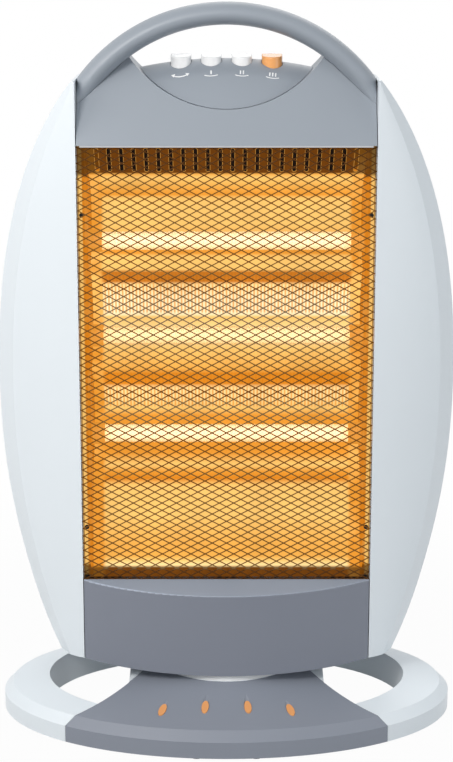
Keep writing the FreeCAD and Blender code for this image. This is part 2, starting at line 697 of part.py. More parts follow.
def bowed_prism(inset, back_y, z0, z1):
    """Plan with a bowed front: the lower front panel, its hollow and the floor behind it."""
    half = MIDDLE_HALF - inset
    radius = (MIDDLE_HALF ** 2 + LOWER_PANEL_BOW ** 2) / (2 * LOWER_PANEL_BOW)
    centre_y = FRONT_Y - LOWER_PANEL_BOW + radius
    reach = radius - inset
    corner_y = centre_y - sqrt(reach ** 2 - half ** 2)
    arc = Part.Arc(V(-half, corner_y, z0), V(0, centre_y - reach, z0), V(half, corner_y, z0)).toShape()
    lines = Part.makePolygon([V(half, corner_y, z0), V(half, back_y, z0), V(-half, back_y, z0),
                              V(-half, corner_y, z0)])
    return Part.Face(Part.Wire([arc] + lines.Edges)).extrude(V(0, 0, z1 - z0))


def lower_front_panel():
    back_y = FRONT_Y + LOWER_PANEL_BACK
    outer = bowed_prism(0, back_y, BODY_FLOOR_Z, LOWER_PANEL_TOP_Z)
    rim = [edge for edge in outer.Edges
           if edge.BoundBox.ZMin > LOWER_PANEL_TOP_Z - PAST and isinstance(edge.Curve, Part.Circle)]
    outer = outer.makeFillet(LEDGE_ROUND, rim)
    return outer.cut(bowed_prism(WALL, back_y + PAST, BODY_FLOOR_Z - PAST, LOWER_PANEL_TOP_Z - WALL))


def body_floor():
    inset = WALL + FIT
    middle = bowed_prism(inset, BACK_Y - WALL - FIT, BODY_FLOOR_Z, FLOOR_TOP_Z)
    inner = offset_left(panel_outer(BODY_FLOOR_Z), WALL + 2 * FIT)
    front_y = PANEL_MOUNT_FRONT_Y + FIT
    back_y = PANEL_MOUNT_BACK_Y - FIT
    x0 = MIDDLE_HALF - inset - PAST
    wing = prism_z([(x0, front_y), (inner[2][0], front_y), (inner[3][0], max(inner[3][1], front_y + PAST)),
                    (inner[4][0], back_y), (x0, back_y)], BODY_FLOOR_Z, FLOOR_TOP_Z)
    pivot = post(0, 0, PIVOT_END_Z, FLOOR_TOP_Z, PIVOT_R)
    cuts = [post(0, 0, LOW, HIGH, PIVOT_BORE_R)]
    for x, y in washer_screw_places():
        cuts.append(post(x, y, LOW, PIVOT_END_Z + SCREW_GRIP, WASHER_SCREW_R + SCREW_FIT))
    return fused([middle, wing, mirrored(wing), pivot]).cut(cuts)


def right_chassis_plate():
    y0 = PANEL_MOUNT_FRONT_Y
    y1 = PANEL_MOUNT_BACK_Y
    outer = box(CHASSIS_X, CHASSIS_FLANGE_X, y0, y1, FLOOR_TOP_Z, DECK_Z)
    channel = box(CHASSIS_X + SHEET, CHASSIS_FLANGE_X + PAST, y0 + SHEET, y1 - SHEET, LOW, DECK_Z + PAST)
    flange = box(CHASSIS_INNER_X, CHASSIS_X, y1 - SHEET, y1, FLOOR_TOP_Z, DECK_Z)
    holes = [bar_y(REAR_SCREW_X, z, y1 - SHEET - PAST, y1 + PAST, SCREW_R + SCREW_FIT) for z in REAR_SCREW_Z]
    return fused([outer.cut(channel), flange]).cut(holes)


def top_deck():
    half = MIDDLE_HALF - WALL
    front_y = GUARD_Y - FIT
    return box(-half, half, front_y, BACK_Y - WALL - FIT, DECK_Z, DECK_TOP_Z)


def rear_cover():
    z0 = BODY_FLOOR_Z
    half = MIDDLE_HALF
    outer = box(-half, half, BACK_Y - WALL - REAR_FLANGE, BACK_Y, z0, DECK_Z)
    hollow = box(-half + WALL, half - WALL, BACK_Y - WALL - REAR_FLANGE - PAST, BACK_Y - WALL,
                 z0 - PAST, DECK_Z + PAST)
    shell = outer.cut(hollow)
    posts = []
    cuts = []
    for side in (-1, 1):
        for z in REAR_SCREW_Z:
            x = side * REAR_SCREW_X
            posts.append(bar_y(x, z, PANEL_MOUNT_BACK_Y, BACK_Y - WALL, REAR_SCREW_POST_R))
            cuts.append(bar_y(x, z, PANEL_MOUNT_BACK_Y - PAST, BACK_Y + PAST, SCREW_R + SCREW_FIT))
            cuts.append(bar_y(x, z, BACK_Y - SCREW_HEAD_H, BACK_Y + PAST, SCREW_HEAD_R + SCREW_FIT))
    for row in range(REAR_VENT_ROWS):
        z = REAR_VENT_LOW_Z + (row + 0.5) * REAR_VENT_PITCH_Z
        for column in range(REAR_VENT_COLUMNS):
            x = (column - (REAR_VENT_COLUMNS - 1) / 2) * REAR_VENT_PITCH_X
            cuts.append(box(x - REAR_VENT_W / 2, x + REAR_VENT_W / 2, BACK_Y - WALL - PAST, BACK_Y + PAST,
                            z - REAR_VENT_H / 2, z + REAR_VENT_H / 2))
    return fused([shell] + posts).cut(cuts)


def rear_screws():
    shapes = []
    for side in (-1, 1):
        for z in REAR_SCREW_Z:
            x = side * REAR_SCREW_X
            head = bar_y(x, z, BACK_Y - SCREW_HEAD_H, BACK_Y, SCREW_HEAD_R)
            thread = bar_y(x, z, PANEL_MOUNT_BACK_Y - SCREW_GRIP / 2, BACK_Y - SCREW_HEAD_H / 2, SCREW_R)
            shapes.append(head.fuse(thread).removeSplitter())
    return shapes


# Top cover, handle and control panel

COVER_TOP_Z = DECK_TOP_Z + COVER_RISE
SCOOP_BOTTOM_Z = DECK_TOP_Z + SCOOP_RISE
SCOOP_Z = SCOOP_BOTTOM_Z + SCOOP_R
CREST_Z = DECK_TOP_Z + CREST_RISE
KEY_TOP_Z = DECK_TOP_Z + KEY_RISE
KEY_BOTTOM_Z = KEY_TOP_Z - KEY_LENGTH
HANDLE_R = SEAM_X + HANDLE_OUT
HANDLE_CENTRE_Z = DECK_TOP_Z + HANDLE_RISE - HANDLE_R
COVER_REAR_R = HANDLE_R + COVER_REAR_PROUD
FAR = BACK_Y + BASE_B


def cover_face_y(z):
    return COVER_FRONT_Y + (z - DECK_TOP_Z) * tan(radians(COVER_LEAN))


def cover_block(inset):
    lean = inset / cos(radians(COVER_LEAN))
    bottom = DECK_TOP_Z - (PAST if inset else 0)
    top = COVER_TOP_Z - inset
    soft = MITRE * inset
    profile = [(cover_face_y(bottom) + lean, bottom), (cover_face_y(top) + lean, top),
               (BACK_Y - COVER_REAR_CHAMFER - soft, top),
               (BACK_Y - inset, COVER_TOP_Z - COVER_REAR_CHAMFER - soft), (BACK_Y - inset, bottom)]
    half = MIDDLE_HALF - inset
    block = prism_x(profile, -half, half)
    front = bar_y(0, HANDLE_CENTRE_Z, -FAR, HANDLE_Y, HANDLE_R - inset)
    rear = bar_y(0, HANDLE_CENTRE_Z, HANDLE_Y, FAR, COVER_REAR_R - inset)
    block = fused([block.common(front), block.common(rear)])
    return block.cut(bar_y(0, SCOOP_Z, -FAR, FAR, SCOOP_R + inset))


def handle_arch(grow):
    half_depth = HANDLE_DEPTH / 2 + grow
    half_thick = HANDLE_THICK / 2 + grow
    ring = Part.Ellipse(V(0, HANDLE_Y + half_depth, HANDLE_CENTRE_Z + HANDLE_R),
                        V(0, HANDLE_Y, HANDLE_CENTRE_Z + HANDLE_R + half_thick),
                        V(0, HANDLE_Y, HANDLE_CENTRE_Z + HANDLE_R))
    section = Part.Face(Part.Wire([ring.toShape()]))
    section.rotate(V(0, 0, HANDLE_CENTRE_Z), V(0, 1, 0), -HANDLE_SPREAD)
    arch = section.revolve(V(0, 0, HANDLE_CENTRE_Z), V(0, 1, 0), 2 * HANDLE_SPREAD)
    half = MIDDLE_HALF + grow
    return arch.common(box(-half, half, -FAR, FAR, DECK_TOP_Z, HANDLE_CENTRE_Z + 2 * HANDLE_R))


def top_cover():
    shell = cover_block(0).cut(cover_block(WALL))
    window = box(-BRACKET_HALF - 2 * FIT, BRACKET_HALF + 2 * FIT, KEY_Y - BRACKET_HALF_D - 2 * FIT,
                 KEY_Y + BRACKET_HALF_D + 2 * FIT, DECK_TOP_Z, COVER_TOP_Z)
    return shell.cut([handle_arch(HANDLE_FIT), window])


def control_block(inset):
    """Profile with a rounded crest, turned about the centre of the crest's arc."""
    lean = radians(PANEL_LEAN)
    foot_y = cover_face_y(SCOOP_BOTTOM_Z) + PANEL_STEP
    low = SCOOP_BOTTOM_Z - PAST - inset
    crest_y = foot_y + (CREST_Z - SCOOP_BOTTOM_Z) * tan(lean)
    fall = atan2(CREST_FALL, CONTROL_BACK_Y - crest_y)
    half_turn = (pi / 2 - lean + fall) / 2
    tangent = CREST_ROUND_R * tan(half_turn)
    start = V(0, crest_y - tangent * sin(lean), CREST_Z - tangent * cos(lean))
    end = V(0, crest_y + tangent * cos(fall), CREST_Z - tangent * sin(fall))
    centre = start + V(0, cos(lean), -sin(lean)) * CREST_ROUND_R
    r = CREST_ROUND_R - inset
    across = (start + end) / 2 - centre
    face_foot = V(0, foot_y + (low - SCOOP_BOTTOM_Z) * tan(lean) + inset / cos(lean), low)
    on_face = centre + (start - centre) * (r / CREST_ROUND_R)
    on_top = centre + (end - centre) * (r / CREST_ROUND_R)
    crown = centre + across * (r / across.Length)
    back_y = CONTROL_BACK_Y - inset
    back_top = V(0, back_y, on_top.z - (back_y - on_top.y) * tan(fall))
    arc = Part.Arc(on_face, crown, on_top).toShape()
    lines = Part.makePolygon([on_top, back_top, V(0, back_y, low), face_foot, on_face])
    section = Part.Face(Part.Wire([arc] + lines.Edges))
    axis = V(0, 0, CREST_Z - CREST_R)
    section.rotate(axis, V(0, 1, 0), -CREST_SPREAD)
    return section.revolve(axis, V(0, 1, 0), 2 * CREST_SPREAD)


def control_panel():
    in_scoop = bar_y(0, SCOOP_Z, -FAR, FAR, SCOOP_R - FIT)
    outer = control_block(0).common(in_scoop)
    shell = outer.cut(control_block(WALL))
    holes = [key_prism(x, KEY_FIT, SCOOP_BOTTOM_Z, SCOOP_Z) for x in KEY_X]
    return shell.cut(holes)


def key_prism(x, grow, z0, z1):
    half = KEY_HALF_W + grow
    front = post(x, KEY_Y, z0, z1, half)
    rear = box(x - half, x + half, KEY_Y, KEY_Y + KEY_BACK + grow, z0, z1)
    return front.fuse(rear).removeSplitter()


def push_key(x):
    reach = 4 * KEY_HALF_W
    above = box(-reach, reach, -reach, reach, 0, reach)
    above.rotate(V(0, 0, 0), V(1, 0, 0), KEY_TOP_TILT)
    above.translate(V(x, KEY_Y, KEY_TOP_Z))
    key = key_prism(x, 0, KEY_BOTTOM_Z, KEY_TOP_Z + KEY_HALF_W).cut(above)
    rim = [edge for edge in key.Edges if edge.BoundBox.ZMin > (KEY_TOP_Z + KEY_BOTTOM_Z) / 2]
    key = key.makeFillet(KEY_EDGE_R, rim)
    stem = post(x, KEY_Y, KEY_BOTTOM_Z - STEM_LENGTH, KEY_BOTTOM_Z + PAST, STEM_R)
    return key.fuse(stem).removeSplitter()


SWITCH_TOP_Z = KEY_BOTTOM_Z - KEY_TRAVEL - FIT
SWITCH_BOTTOM_Z = SWITCH_TOP_Z - SWITCH_H


def push_switches():
    shapes = []
    for x in KEY_X:
        body = box(x - SWITCH_HALF_W, x + SWITCH_HALF_W, KEY_Y - SWITCH_HALF_D, KEY_Y + SWITCH_HALF_D,
                   SWITCH_BOTTOM_Z, SWITCH_TOP_Z)
        depth = STEM_LENGTH + KEY_TRAVEL + FIT
        shapes.append(body.cut(post(x, KEY_Y, KEY_BOTTOM_Z - depth, SWITCH_TOP_Z, STEM_R + RUNNING)))
    return shapes


def switch_bracket():
    y0 = KEY_Y - BRACKET_HALF_D
    y1 = KEY_Y + BRACKET_HALF_D
    outer = box(-BRACKET_HALF, BRACKET_HALF, y0, y1, DECK_TOP_Z, SWITCH_BOTTOM_Z)
    under = box(-BRACKET_HALF + SHEET, BRACKET_HALF - SHEET, y0 - PAST, y1 + PAST, LOW, SWITCH_BOTTOM_Z - SHEET)
    return outer.cut(under)


def thermal_cutout():
    can = post(CUTOUT_X, CUTOUT_Y, DECK_TOP_Z, DECK_TOP_Z + CUTOUT_H, CUTOUT_R)
    tabs = box(CUTOUT_X - 2 * CUTOUT_R, CUTOUT_X + 2 * CUTOUT_R, CUTOUT_Y - CUTOUT_R / 2,
               CUTOUT_Y + CUTOUT_R / 2, DECK_TOP_Z, DECK_TOP_Z + SHEET)
    return can.fuse(tabs).removeSplitter()


# Reflector, tubes and guard

END_PLATE_X = CHASSIS_X - END_PLATE_T
REFLECTOR_HALF = END_PLATE_X - FIT / 3
REFLECTOR_TOP_Z = DECK_Z - FIT
REFLECTOR_LIP_Z = LOWER_PANEL_TOP_Z + REFLECTOR_LIP_H
WINDOW_H = DECK_Z - LOWER_PANEL_TOP_Z
TUBE_Z = [LOWER_PANEL_TOP_Z + share * WINDOW_H for share in TUBE_SHARES]
RIDGE_Z = [LOWER_PANEL_TOP_Z + share * WINDOW_H for share in RIDGE_SHARES]
SLOT_PITCH = 2 * (REFLECTOR_HALF - SLOT_SIDE) / SLOT_COUNT
SLOT_TOP_Z = DECK_Z - SLOT_HEAD
SLOT_BOTTOM_Z = RIDGE_Z[0] + SLOT_FOOT
TUBE_HALF = CHASSIS_X - TUBE_END_GAP
CAP_FROM = CHASSIS_X - CAP_LENGTH
GUARD_HALF = MIDDLE_HALF - GUARD_SIDE_GAP


def reflector_line(shift):
    """Front line of the folded reflector, from the top down, as edges in the YZ plane."""
    def point(y, z):
        return V(-REFLECTOR_HALF, y + shift, z)

    edges = [Part.LineSegment(point(REFLECTOR_TOP_Y, REFLECTOR_TOP_Z), point(RIDGE_Y, RIDGE_Z[0])).toShape()]
    for upper, lower in zip(RIDGE_Z, RIDGE_Z[1:]):
        middle = point(TROUGH_Y, (upper + lower) / 2)
        edges.append(Part.Arc(point(RIDGE_Y, upper), middle, point(RIDGE_Y, lower)).toShape())
    foot = point(REFLECTOR_LIP_Y, REFLECTOR_LIP_Z)
    edges.append(Part.LineSegment(point(RIDGE_Y, RIDGE_Z[-1]), foot).toShape())
    edges.append(Part.LineSegment(foot, point(REFLECTOR_LIP_Y, LOWER_PANEL_TOP_Z)).toShape())
    return edges


def reflector():
    front = reflector_line(0)
    rear = reflector_line(REFLECTOR_T)
    top = Part.LineSegment(front[0].Vertexes[0].Point, rear[0].Vertexes[0].Point).toShape()
    bottom = Part.LineSegment(front[-1].Vertexes[-1].Point, rear[-1].Vertexes[-1].Point).toShape()
    outline = Part.Wire(Part.__sortEdges__(front + [bottom] + rear + [top]))
    sheet = Part.Face(outline).extrude(V(2 * REFLECTOR_HALF, 0, 0))
    slots = []
    for i in range(SLOT_COUNT):
        x = (i - (SLOT_COUNT - 1) / 2) * SLOT_PITCH
        rear_y = RIDGE_Y + REFLECTOR_T
        round_z = SLOT_BOTTOM_Z + SLOT_W / 2
        slot = box(x - SLOT_W / 2, x + SLOT_W / 2, REFLECTOR_TOP_Y - PAST, rear_y, round_z, SLOT_TOP_Z)
        slots.append(slot.fuse(bar_y(x, round_z, REFLECTOR_TOP_Y - PAST, rear_y, SLOT_W / 2)))
    return sheet.cut(slots)


def right_tube_bracket():
    plate = box(END_PLATE_X, CHASSIS_X, END_PLATE_FRONT_Y, END_PLATE_BACK_Y, LOWER_PANEL_TOP_Z, REFLECTOR_TOP_Z)
    return plate.cut([bar_x(0, CHASSIS_X, TUBE_Y, z, CAP_R + CAP_FIT) for z in TUBE_Z])


def quartz_tube(z):
    outer = bar_x(-TUBE_HALF, TUBE_HALF, TUBE_Y, z, TUBE_R)
    return outer.cut(bar_x(-TUBE_HALF - PAST, TUBE_HALF + PAST, TUBE_Y, z, TUBE_R - TUBE_WALL))


def tube_end_caps():
    shapes = []
    for z in TUBE_Z:
        cap = bar_x(CAP_FROM, CHASSIS_X, TUBE_Y, z, CAP_R)
        cap = cap.cut(bar_x(0, TUBE_HALF + CAP_FIT, TUBE_Y, z, TUBE_R + CAP_FIT / 2))
        shapes += [cap, mirrored(cap)]
    return shapes


def filament(z):
    reach = TUBE_HALF + CAP_FIT
    return bar_x(-reach, reach, TUBE_Y, z, FILAMENT_R)


def guard_mesh():
    """One sheet with rows of diamond gaps inside a plain border."""
    bottom = LOWER_PANEL_TOP_Z
    half = GUARD_HALF
    outline = [V(-half, GUARD_Y, bottom), V(half, GUARD_Y, bottom), V(half, GUARD_Y, DECK_Z),
               V(-half, GUARD_Y, DECK_Z)]
    wires = [Part.makePolygon(outline + outline[:1])]
    pitch_x = 2 * (half - GUARD_BORDER) / GUARD_COLUMNS
    pitch_z = (DECK_Z - bottom - 2 * GUARD_BORDER) / GUARD_ROWS
    half_x = pitch_x / 2 - GUARD_STRAND
    half_z = half_x * pitch_z / pitch_x
    for row in range(2 * GUARD_ROWS - 1):
        odd = row % 2
        z = bottom + GUARD_BORDER + (row + 1) * pitch_z / 2
        for column in range(GUARD_COLUMNS - odd):
            x = (column + (odd + 1) / 2) * pitch_x - half + GUARD_BORDER
            corners = [V(x - half_x, GUARD_Y, z), V(x, GUARD_Y, z + half_z), V(x + half_x, GUARD_Y, z),
                       V(x, GUARD_Y, z - half_z)]
            wires.append(Part.makePolygon(corners + corners[:1]))
    face = Part.Face(wires[0])
    holes = Part.makeCompound([Part.Face(wire).extrude(V(0, GUARD_T, 0)) for wire in wires[1:]])
    return face.extrude(V(0, GUARD_T, 0)).cut(holes)


os.makedirs("parts", exist_ok=True)

base_shell, base_front_insert = base_shell_and_insert()
save("base_shell", base_shell)
save("base_front_insert", base_front_insert)
save("indicator_lenses", Part.makeCompound(indicator_lenses()))
save("lamp_board", lamp_board())
save("indicator_lamps", Part.makeCompound(indicator_lamps()))
save("base_bottom_plate", base_bottom_plate())
save("base_screws", Part.makeCompound(base_screws()))
save("rubber_feet", Part.makeCompound(rubber_feet()))
save("cord_inlet_gland", cord_inlet_gland())
save("oscillation_motor", oscillation_motor())
save("motor_screws", Part.makeCompound(motor_screws()))
save("turntable_ring", turntable_ring())
save("drive_crank", drive_crank())
save("tip_over_switch", tip_over_switch())
save("tip_over_plunger", tip_over_plunger())
save("terminal_block", terminal_block())

save("body_floor", body_floor())
save("sweep_yoke", sweep_yoke())
save("retaining_washer", retaining_washer())
save("retaining_screws", Part.makeCompound(retaining_screws()))
right_panel = right_side_panel()
save("right_side_panel", right_panel)
save("left_side_panel", mirrored(right_panel))
right_chassis = right_chassis_plate()
save("right_chassis_plate", right_chassis)
save("left_chassis_plate", mirrored(right_chassis))
save("lower_front_panel", lower_front_panel())
save("top_deck", top_deck())
save("rear_cover", rear_cover())
save("rear_screws", Part.makeCompound(rear_screws()))

save("top_cover", top_cover())
save("carry_handle", handle_arch(0))
save("control_panel", control_panel())
for name, x in zip(("swing_button", "power_button_1", "power_button_2", "power_button_3"), KEY_X):
    save(name, push_key(x))
save("push_switches", Part.makeCompound(push_switches()))
save("switch_bracket", switch_bracket())
save("thermal_cutout", thermal_cutout())

save("reflector", reflector())
right_bracket = right_tube_bracket()
save("right_tube_bracket", right_bracket)
save("left_tube_bracket", mirrored(right_bracket))
for name, z in zip(("upper", "middle", "lower"), TUBE_Z):
    save("quartz_tube_" + name, quartz_tube(z))
    save("filament_" + name, filament(z))
save("tube_end_caps", Part.makeCompound(tube_end_caps()))
save("guard_mesh", guard_mesh())
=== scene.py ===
# %% [markdown]
# # A quartz heater that sweeps from side to side
# The object is a free-standing electric heater: three quartz tubes glow in front of a folded
# reflector, behind a guard of expanded metal. Two white side shells hold a grey middle with a
# handle and four push keys, and the whole body turns on an oval ring base. The CAD model gives
# every piece its place and size. This lesson gives it its surfaces, its light and its fine parts.

# %% Load the frame
import json
from math import atan, cos, pi, radians, sin

import bmesh
import bpy
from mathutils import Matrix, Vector


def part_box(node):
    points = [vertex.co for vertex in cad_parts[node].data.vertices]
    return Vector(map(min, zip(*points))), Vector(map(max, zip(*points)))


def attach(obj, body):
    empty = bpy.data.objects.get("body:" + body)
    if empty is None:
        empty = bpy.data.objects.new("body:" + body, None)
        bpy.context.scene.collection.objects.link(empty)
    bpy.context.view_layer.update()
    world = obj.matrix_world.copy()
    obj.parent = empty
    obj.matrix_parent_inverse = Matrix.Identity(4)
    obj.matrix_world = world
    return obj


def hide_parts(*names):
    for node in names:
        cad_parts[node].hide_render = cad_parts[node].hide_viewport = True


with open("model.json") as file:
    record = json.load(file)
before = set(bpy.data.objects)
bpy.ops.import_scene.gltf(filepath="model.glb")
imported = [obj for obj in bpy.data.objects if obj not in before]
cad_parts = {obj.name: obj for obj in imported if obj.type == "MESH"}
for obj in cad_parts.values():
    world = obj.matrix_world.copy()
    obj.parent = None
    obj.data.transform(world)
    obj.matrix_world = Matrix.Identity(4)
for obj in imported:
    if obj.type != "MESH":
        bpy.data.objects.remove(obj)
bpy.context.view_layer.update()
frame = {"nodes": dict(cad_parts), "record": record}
cad_nodes = frame["nodes"]
slot_of = {part["node"]: part["material_slot"] for part in frame["record"]["subparts"]}

# %% [markdown]
# ## Camera
# The heater is seen from straight ahead and a little above, through a long lens, so that its
# sides stay nearly parallel. A long lens and a distance of a metre and a half give the small
# convergence of the window's sides; a wide lens would pinch the base.

# %% Camera
CAMERA_PLACE = (0.0, -1.425, 0.609)
CAMERA_DOWN = radians(13.5)
CAMERA_LENS = 89.3

camera_data = bpy.data.cameras.new("camera")
camera_data.lens = CAMERA_LENS
camera_data.sensor_width = 36.0
camera = bpy.data.objects.new("camera", camera_data)
camera.location = CAMERA_PLACE
camera.rotation_euler = (pi / 2 - CAMERA_DOWN, 0, 0)
bpy.context.scene.collection.objects.link(camera)
bpy.context.scene.camera = camera
bpy.context.scene.view_settings.view_transform = "Standard"
print("camera at", CAMERA_PLACE, "lens", CAMERA_LENS)

# %% [markdown]
# ## Light and floor
# A large soft lamp stands at the left and a weaker one at the right, so the left shell is the
# brighter one. A small lamp high in front lights the handle and keys without throwing the handle's
# shadow on them, a lamp behind lights the back, and the world fills the rest. The camera sees floor
# and world as plain white, while the light that bounces off the floor is that of a mid grey. That
# is cheaper than a curved backdrop, leaves no line behind the object and doesn't wash it out.

# %% Lamps and world
def soft_lamp(name, place, aim, size, power, tint=(1, 1, 1)):
    data = bpy.data.lights.new(name, "AREA")
    data.shape = "SQUARE"
    data.size = size
    data.energy = power
    data.color = tint
    lamp = bpy.data.objects.new(name, data)
    lamp.location = place
    lamp.rotation_euler = (Vector(aim) - Vector(place)).to_track_quat("-Z", "Y").to_euler()
    bpy.context.scene.collection.objects.link(lamp)
    return lamp


BODY_MIDDLE = (0.0, 0.0, 0.28)
KEY_ROW = (-0.05, 0.0, 0.46)
LARGE, SMALL = 1.5, 0.35
WARM = (1.0, 0.97, 0.94)
soft_lamp("key_lamp", (-1.9, -0.95, 1.3), BODY_MIDDLE, LARGE, 20, WARM)
soft_lamp("top_lamp", (-0.50, -1.00, 1.05), KEY_ROW, SMALL, 8.4, WARM)
soft_lamp("fill_lamp", (1.9, -1.0, 0.5), BODY_MIDDLE, LARGE, 16.5)
soft_lamp("rear_lamp", (0.4, 1.9, 1.6), BODY_MIDDLE, LARGE, 9)


def add(tree, kind, **settings):
    made = tree.nodes.new(kind)
    for key, value in settings.items():
        setattr(made, key, value)
    return made


def set_inputs(made, **values):
    for key, value in values.items():
        made.inputs[key.replace("_", " ")].default_value = value
    return made


def seen_directly(tree):
    """1 where the camera looks straight, in a mirror or through glass, else 0."""
    path = add(tree, "ShaderNodeLightPath")
    first = add(tree, "ShaderNodeMath", operation="MAXIMUM")
    second = add(tree, "ShaderNodeMath", operation="MAXIMUM")
    tree.links.new(path.outputs["Is Camera Ray"], first.inputs[0])
    tree.links.new(path.outputs["Is Glossy Ray"], first.inputs[1])
    tree.links.new(first.outputs[0], second.inputs[0])
    tree.links.new(path.outputs["Is Transmission Ray"], second.inputs[1])
    return second.outputs[0]


WORLD_FILL = 0.36
SKY_TINT = (0.91, 0.96, 1.0)
PLAIN_WHITE = (1, 1, 1, 1)
world = bpy.data.worlds.new("studio")
world.use_nodes = True
bpy.context.scene.world = world
sky = world.node_tree
sky.nodes.clear()
fill = add(sky, "ShaderNodeBackground")
set_inputs(fill, Color=(*SKY_TINT, 1), Strength=WORLD_FILL)
white = add(sky, "ShaderNodeBackground")
set_inputs(white, Color=PLAIN_WHITE, Strength=1.0)
either = add(sky, "ShaderNodeMixShader")
sky_out = add(sky, "ShaderNodeOutputWorld")
sky.links.new(seen_directly(sky), either.inputs[0])
sky.links.new(fill.outputs[0], either.inputs[1])
sky.links.new(white.outputs[0], either.inputs[2])
sky.links.new(either.outputs[0], sky_out.inputs[0])
print("four lamps and a white world")

# %% Floor
FLOOR_HALF = 30.0
FLOOR_NEAR, FLOOR_FAR = 0.25, 0.75
FLOOR_GREY = (0.40, 0.405, 0.41)
NEAR_WHITE = 0.97

floor_mesh = bpy.data.meshes.new("floor")
corners = [(-FLOOR_HALF, -FLOOR_HALF, 0), (FLOOR_HALF, -FLOOR_HALF, 0),
           (FLOOR_HALF, FLOOR_HALF, 0), (-FLOOR_HALF, FLOOR_HALF, 0)]
floor_mesh.from_pydata(corners, [], [(0, 1, 2, 3)])
floor = bpy.data.objects.new("floor", floor_mesh)
bpy.context.scene.collection.objects.link(floor)

floor_finish = bpy.data.materials.new("white_floor")
floor_finish.use_nodes = True
tree = floor_finish.node_tree
matt = tree.nodes["Principled BSDF"]
set_inputs(matt, Base_Color=(*FLOOR_GREY, 1), Roughness=0.9)
plain = add(tree, "ShaderNodeEmission")
set_inputs(plain, Color=PLAIN_WHITE, Strength=1.0)
place = add(tree, "ShaderNodeTexCoord")
reach = add(tree, "ShaderNodeVectorMath", operation="LENGTH")
fade = add(tree, "ShaderNodeMapRange", interpolation_type="SMOOTHSTEP")
set_inputs(fade, From_Min=FLOOR_NEAR, From_Max=FLOOR_FAR, To_Min=NEAR_WHITE, To_Max=1.0)
both = add(tree, "ShaderNodeMath", operation="MULTIPLY")
mixed = add(tree, "ShaderNodeMixShader")
tree.links.new(place.outputs["Object"], reach.inputs[0])
tree.links.new(reach.outputs["Value"], fade.inputs["Value"])
tree.links.new(fade.outputs[0], both.inputs[0])
tree.links.new(seen_directly(tree), both.inputs[1])
tree.links.new(both.outputs[0], mixed.inputs[0])
tree.links.new(matt.outputs[0], mixed.inputs[1])
tree.links.new(plain.outputs[0], mixed.inputs[2])
tree.links.new(mixed.outputs[0], tree.nodes["Material Output"].inputs[0])
floor_mesh.materials.append(floor_finish)
print("floor", 2 * FLOOR_HALF, "m across")

# %% [markdown]
# ## Shared surface effects
# Every moulding on the heater has the same two marks of its making: a fine spark-eroded grain
# from the mould, and a slow drift of colour in the plastic. Sheet metal has rolling lines
# instead. Each effect is one node group, placed in many finishes with other values, so a change
# to the grain changes every moulding at once.

# %% Node groups for mouldings and sheet
def effect(name, inputs, outputs):
    group = bpy.data.node_groups.new(name, "ShaderNodeTree")
    for label, kind, value in inputs:
        socket = group.interface.new_socket(label, in_out="INPUT", socket_type=kind)
        socket.default_value = value
    for label, kind in outputs:
        group.interface.new_socket(label, in_out="OUTPUT", socket_type=kind)
    return group, add(group, "NodeGroupInput"), add(group, "NodeGroupOutput")


COLOUR, NUMBER = "NodeSocketColor", "NodeSocketFloat"


def scaled_colour(tree, colour, factor):
    """A colour made lighter or darker by a factor."""
    product = add(tree, "ShaderNodeVectorMath", operation="SCALE")
    tree.links.new(colour, product.inputs[0])
    tree.links.new(factor, product.inputs["Scale"])
    return product.outputs[0]


def spread(tree, value, low, high):
    """Maps the middle of a noise to a range whose ends are sockets or numbers."""
    made = add(tree, "ShaderNodeMapRange")
    set_inputs(made, From_Min=0.25, From_Max=0.75)
    tree.links.new(value, made.inputs["Value"])
    for key, end in (("To Min", low), ("To Max", high)):
        if isinstance(end, (int, float)):
            made.inputs[key].default_value = end
        else:
            tree.links.new(end, made.inputs[key])
    return made.outputs[0]


def maths(tree, value, amount, operation):
    """One sum of two sockets or numbers."""
    made = add(tree, "ShaderNodeMath", operation=operation)
    for i, end in enumerate((value, amount)):
        if isinstance(end, (int, float)):
            made.inputs[i].default_value = end
        else:
            tree.links.new(end, made.inputs[i])
    return made.outputs[0]


def surface_from(tree, given, out, tone, grain):
    """Ends an effect: one noise moves the colour, another the roughness and the height."""
    darker = maths(tree, 1.0, given.outputs["Drift"], "SUBTRACT")
    lighter = maths(tree, 1.0, given.outputs["Drift"], "ADD")
    shade = spread(tree, tone, darker, lighter)
    smoother = maths(tree, given.outputs["Roughness"], given.outputs["Spread"], "SUBTRACT")
    rougher = maths(tree, given.outputs["Roughness"], given.outputs["Spread"], "ADD")
    tree.links.new(scaled_colour(tree, given.outputs["Colour"], shade), out.inputs["Colour"])
    tree.links.new(spread(tree, grain, smoother, rougher), out.inputs["Roughness"])
    tree.links.new(grain, out.inputs["Height"])


SURFACE = [("Colour", COLOUR), ("Roughness", NUMBER), ("Height", NUMBER)]
skin, skin_in, skin_out = effect(
    "moulded_skin",
    [("Colour", COLOUR, (0.8, 0.8, 0.8, 1)), ("Drift", NUMBER, 0.03), ("Grain", NUMBER, 1500.0),
     ("Roughness", NUMBER, 0.4), ("Spread", NUMBER, 0.06)], SURFACE)
where = add(skin, "ShaderNodeTexCoord")
slow = set_inputs(add(skin, "ShaderNodeTexNoise"), Scale=7.0, Detail=3.0)
fine = set_inputs(add(skin, "ShaderNodeTexNoise"), Detail=2.0)
skin.links.new(where.outputs["Object"], slow.inputs["Vector"])
skin.links.new(where.outputs["Object"], fine.inputs["Vector"])
skin.links.new(skin_in.outputs["Grain"], fine.inputs["Scale"])
surface_from(skin, skin_in, skin_out, slow.outputs[0], fine.outputs[0])

